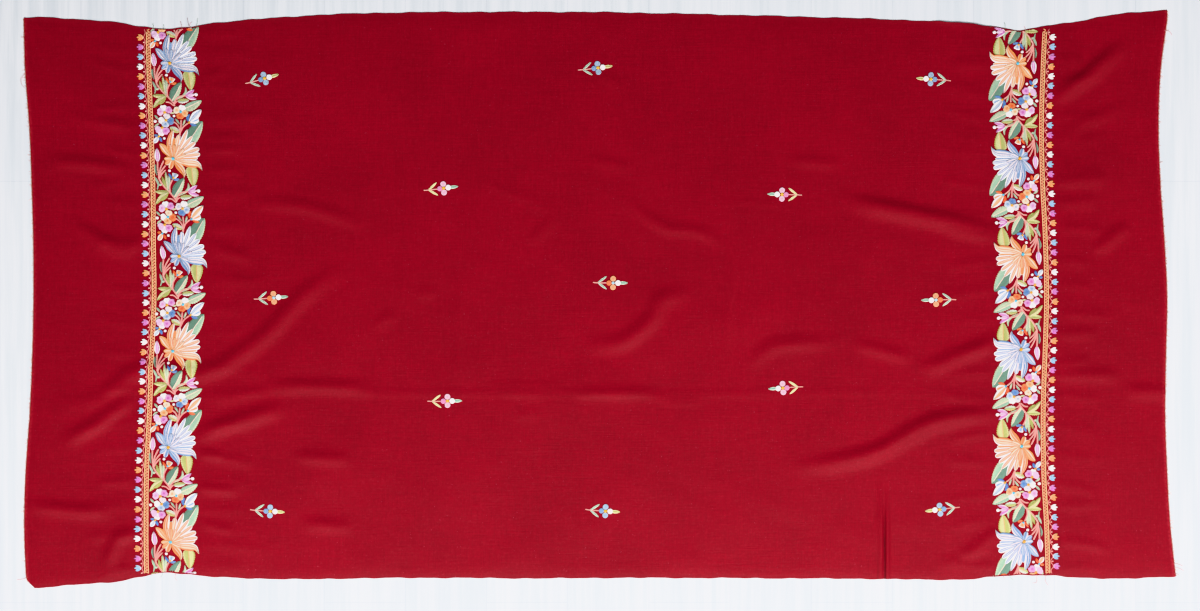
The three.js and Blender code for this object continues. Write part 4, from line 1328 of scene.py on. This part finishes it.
def stitch_sprig(number, x, y, heading, colour):
    out = Stitching()
    rim, fill, near, eye, leaf_rim, leaf_fill, tip_rim, tip_fill = SPRIG_THREADS[colour]
    turned = math.cos(math.radians(heading)), math.sin(math.radians(heading))

    def place(along, across):
        return (
            x + along * turned[0] - across * turned[1],
            y + along * turned[1] + across * turned[0],
        )

    stem(out, place, [(-35.5, 0.6), (-26, 0), (-9, 0)], 2.0, "pale stem, stem")
    for side in (-1, 1):
        path, names = [(-26.4, 0), (-10.8, side * 11.5)], f"{leaf_rim}, {leaf_fill}, {leaf_rim}"
        petal(out, nudged(place), path, 2.1, 0, 0.5, 0.6, names, foot=0.6)
    petal(out, place, [(10.5, 0), (26, 0)], 3.0, 0, 0.4, 0.3, f"{tip_rim}, {tip_fill}, {tip_rim}", foot=0.7)
    sides = f"{rim}, {fill}, {rim}"
    for centre, radius, rows, layer in (
        ((0, 7.2), 5.1, sides, 1),
        ((0, -7.2), 5.1, sides, 1),
        ((-7, 0), 4.7, near, 2),
        ((8.3, 0), 5.0, "white", 2),
    ):
        round_petal(out, nudged(place, 0.3), centre, (radius, radius), (1, 0), rows, layer)
    knot(out, place, (0, 0), 3.0, eye, layer=3)
    out.make(f"stitched_sprig_{number:02d}", colour + "_sprig", f"sprig_{number:02d}")


# ---- Frayed ends and loose threads ----

STRAND_STEPS = 4  # cells along a frayed end
FRAY_ROOT = 0.24  # its radius where it leaves the cloth's face
FRAY_TIP = 0.14
FRAY_INSIDE = 0.4  # how far inside the rim it starts
FRAY_SPACING = (0.32, 0.72)
FRAY_REACH = (0.8, 2.4)  # how far out most of the yarn ends come
LONG_REACH = (3.0, 7.0)  # and a few
LONG_SHARE = 0.05
LOOSE_STEPS = 12  # cells along a loose thread
LOOSE_TIP = 0.08  # its radius at both ends
LOOSE_SWELL = 0.22  # how much thicker it is between them
LOOSE_LEVEL = 0.3  # the height of its ends over the floor
LOOSE_ARCH = 0.8  # how much higher its middle lies


def loose_yarn():
    """Frayed and cut yarn ends in the colours that their points carry."""
    m = Nodes("loose_yarn")
    uneven = m.span(m.noise(900), 0.3, 0.7, 0.85, 1.15)
    m.set("Base Color", m.shade(m.attribute("thread", "Color"), uneven))
    m.set("Roughness", 0.8)
    m.set("Specular IOR Level", 0.2)
    m.bump(m.noise(2600), 0.0002, 0.5)
    return m.material


class Strands:
    """One piece made of fine threads, each a three-sided tube along a path in millimetres."""

    def __init__(self):
        self.points, self.colours, self.quads = [], [], []
        self.count = 0

    def add(self, path, radius, colour):
        """A thread along path, with its thickness and colour at each point."""
        heading = np.gradient(path, axis=0)
        side = np.stack([-heading[:, 1], heading[:, 0], np.zeros(len(path))], 1)
        side /= np.maximum(np.linalg.norm(side, axis=1, keepdims=True), 1e-9)
        turn = np.pi * np.array([0.5, 7 / 6, 11 / 6])[None, :, None]
        around = side[:, None] * np.cos(turn) + np.array([0, 0, 1.0]) * np.sin(turn)
        self.points.append((path[:, None] + around * radius[:, None, None]).reshape(-1, 3))
        self.colours.append(np.repeat(colour, 3, 0))
        self.quads.append(grid_quads(len(path), 3, self.count, ring=True))
        self.count += 3 * len(path)

    def make(self, name, slot, node):
        points = np.concatenate(self.points)
        made = make_mesh(name, points, np.concatenate(self.quads), colours=np.concatenate(self.colours))
        finish_piece(made, points, LOOSE_YARN, node)


def lay_thread(out, points, name):
    """A long loose thread over the floor, from under the cloth's edge."""
    path = smooth_line(points, LOOSE_STEPS)
    along = np.linspace(0, 1, len(path))
    path = np.column_stack([path, LOOSE_LEVEL + LOOSE_ARCH * np.sin(np.pi * along) ** 2])
    radius = LOOSE_TIP + LOOSE_SWELL * np.minimum(1, 6 * np.minimum(along, 1 - along))
    out.add(path, radius, np.repeat(DYED[name][None], len(path), 0))


# Wool threads that have worked loose from the two ends.
STRAY_WOOL = {
    "left": [
        [(-1001, 394), (-1008, 391), (-1013, 384), (-1011, 373), (-1003, 366)],
        [(-1000, -488), (-1010, -491), (-1021, -492)],
    ],
    "right": [
        [(1003, -464), (1012, -465), (1020, -468)],
        [(1003, -470), (1013, -472), (1022, -476.5)],
        [(1004, -480), (1010, -482), (1014, -484)],
        [(985, 470), (996, 467), (1001, 460)],
    ],
}

# Cut ends of embroidery thread that reach out beyond the woven edges at the bands.
CUT_THREADS = {
    "left": [
        ([(-722.5, 492), (-721, 484.5), (-719, 476), (-718, 470)], "loose grey"),
        ([(-734.5, 486), (-732.3, 478), (-731, 469)], "loose pink"),
        ([(-704, 491.5), (-704.6, 481), (-708, 475)], "loose green"),
        ([(-714, 485), (-717.5, 479), (-719.5, 471)], "loose pink"),
        ([(-782.6, 482), (-781.4, 476), (-781, 470)], "loose green"),
        ([(-764, 480.5), (-763, 475), (-764, 469)], "loose green"),
        ([(-742, -479), (-743.5, -488), (-740, -494)], "loose pink"),
        ([(-765, -477), (-766, -484.5), (-770, -488)], "loose green"),
    ],
    "right": [
        ([(764, -480), (764.4, -492), (763, -497), (756.4, -497.8)], "loose pink"),
        ([(781, -480), (779.4, -494), (784.8, -502)], "loose pink"),
        ([(687, -483), (691, -488.5), (696.4, -492.4)], "loose green"),
        ([(715, -481), (718.4, -488.6), (723.6, -493.2)], "loose green"),
        ([(708, -480), (706, -487), (708, -491)], "loose grey"),
        ([(707, 484), (709, 477), (708, 468)], "loose green"),
        ([(742, 477), (744, 470), (743, 464)], "loose pink"),
    ],
}


def fray(side, outward):
    """The frayed cut end of the cloth: short ends of its long yarns, paler where they have worn."""
    out = Strands()
    rim_x, rim_y, rim_z = (part[0 if outward < 0 else -1] for part in (lie_x, lie_y, lie_z))
    along = np.linspace(0, 1, STRAND_STEPS + 1)
    radius = FRAY_ROOT + (FRAY_TIP - FRAY_ROOT) * along
    dark, pale = linear(*WOOL_RED), DYED["loose red"]
    y = rim_y[0] + 1.5
    while y < rim_y[-1] - 1.5:
        reach = rng.uniform(*(FRAY_REACH if rng.random() > LONG_SHARE else LONG_REACH))
        drift = rng.normal(0, 0.3) * reach
        root_x, root_z = np.interp(y, rim_y, rim_x), np.interp(y, rim_y, rim_z) + RIM_WALL
        height = np.maximum(root_z - 0.2 * reach * along**2, 0.1)
        path_x = root_x + outward * (-FRAY_INSIDE + (reach + FRAY_INSIDE) * along)
        path = np.column_stack([path_x, y + drift * along**2, height])
        worn = (0.4 + 0.6 * along[:, None]) * rng.uniform(0.6, 1.0)
        out.add(path, radius, dark * (1 - worn) + pale * worn)
        y += rng.uniform(*FRAY_SPACING)
    for points in STRAY_WOOL[side]:
        lay_thread(out, points, "loose pink")
    out.make("frayed_end_" + side, "frayed_wool", "end_fringe_" + side)


def cut_ends(side):
    out = Strands()
    for points, name in CUT_THREADS[side]:
        lay_thread(out, points, name)
    out.make("cut_threads_" + side, "flower_embroidery", "flower_band_" + side)


YARN = thread("embroidery_yarn")
LOOSE_YARN = loose_yarn()
for band in BANDS:
    stitch_band(band)
    stitch_braid(band)
    stitch_buds(band)
for number, sprig in enumerate(SPRIGS, 1):
    stitch_sprig(number, *sprig)
for side, outward in (("left", -1), ("right", 1)):
    fray(side, outward)
    cut_ends(side)

# ---- Surroundings ----

BOARD = {"wide": 0.142, "long": 0.737, "joint": 0.0007, "fromX": 0.0564, "fromY": 0.205}  # in metres


def pale_floor():
    """Pale boards that run along the shawl's width, with streaks of grain and faint joints."""
    m = Nodes("pale_floor")
    streaks = m.noise(55, (1, 0.05, 1), 5, 0.65)
    grain = m.noise(140, (1, 0.02, 1), 3, 0.6)
    both = m.math("ADD", m.times(streaks, 0.7), m.times(grain, 0.3))
    colour = m.mix(m.span(both, 0.36, 0.64), rgba(206, 209, 213), rgba(222, 222, 225))
    start = (BOARD["fromY"], BOARD["fromX"], 0)
    turned = {"Vector": m.place, "Rotation": (0, 0, math.pi / 2), "Location": start}
    boards = {
        "Vector": m.add("ShaderNodeMapping", turned).outputs[0],
        "Color1": (1, 1, 1, 1),
        "Color2": (0.97, 0.975, 0.98, 1),
        "Mortar": (0.86, 0.87, 0.89, 1),
        "Scale": 1.0,
        "Mortar Size": BOARD["joint"],
        "Mortar Smooth": 0.2,
        "Brick Width": BOARD["long"],
        "Row Height": BOARD["wide"],
    }
    m.set("Base Color", m.mix(1.0, colour, m.add("ShaderNodeTexBrick", boards).outputs["Color"], "MULTIPLY"))
    m.set("Roughness", 0.55)
    m.bump(grain, 0.0003, 0.3)
    return m.material


FLOOR_HALF = 6000.0
FLOOR_LEVEL = -0.1
corners = [(x * FLOOR_HALF, y * FLOOR_HALF, FLOOR_LEVEL) for x, y in ((-1, -1), (1, -1), (1, 1), (-1, 1))]
floor = make_mesh("floor", corners, [(0, 1, 2, 3)])
floor.data.materials.append(pale_floor())


def soft_light(name, place, size, watts):
    data = bpy.data.lights.new(name, "AREA")
    data.shape = "RECTANGLE"
    data.size, data.size_y = size
    data.energy = watts
    made = bpy.data.objects.new(name, data)
    made.location = place
    made.rotation_euler = (-Vector(place)).to_track_quat("-Z", "Y").to_euler()
    scene.collection.objects.link(made)


soft_light("window", (0.1, -2.0, 2.0), (5.0, 1.2), 186)
soft_light("far_window", (4.0, -0.8, 2.6), (1.5, 1.5), 45)
world = bpy.data.worlds.new("room")
world.use_nodes = True
background = world.node_tree.nodes["Background"]
background.inputs["Color"].default_value = (0.93, 0.96, 1.0, 1)
background.inputs["Strength"].default_value = 0.38
scene.world = world
scene.view_settings.view_transform = "Khronos PBR Neutral"
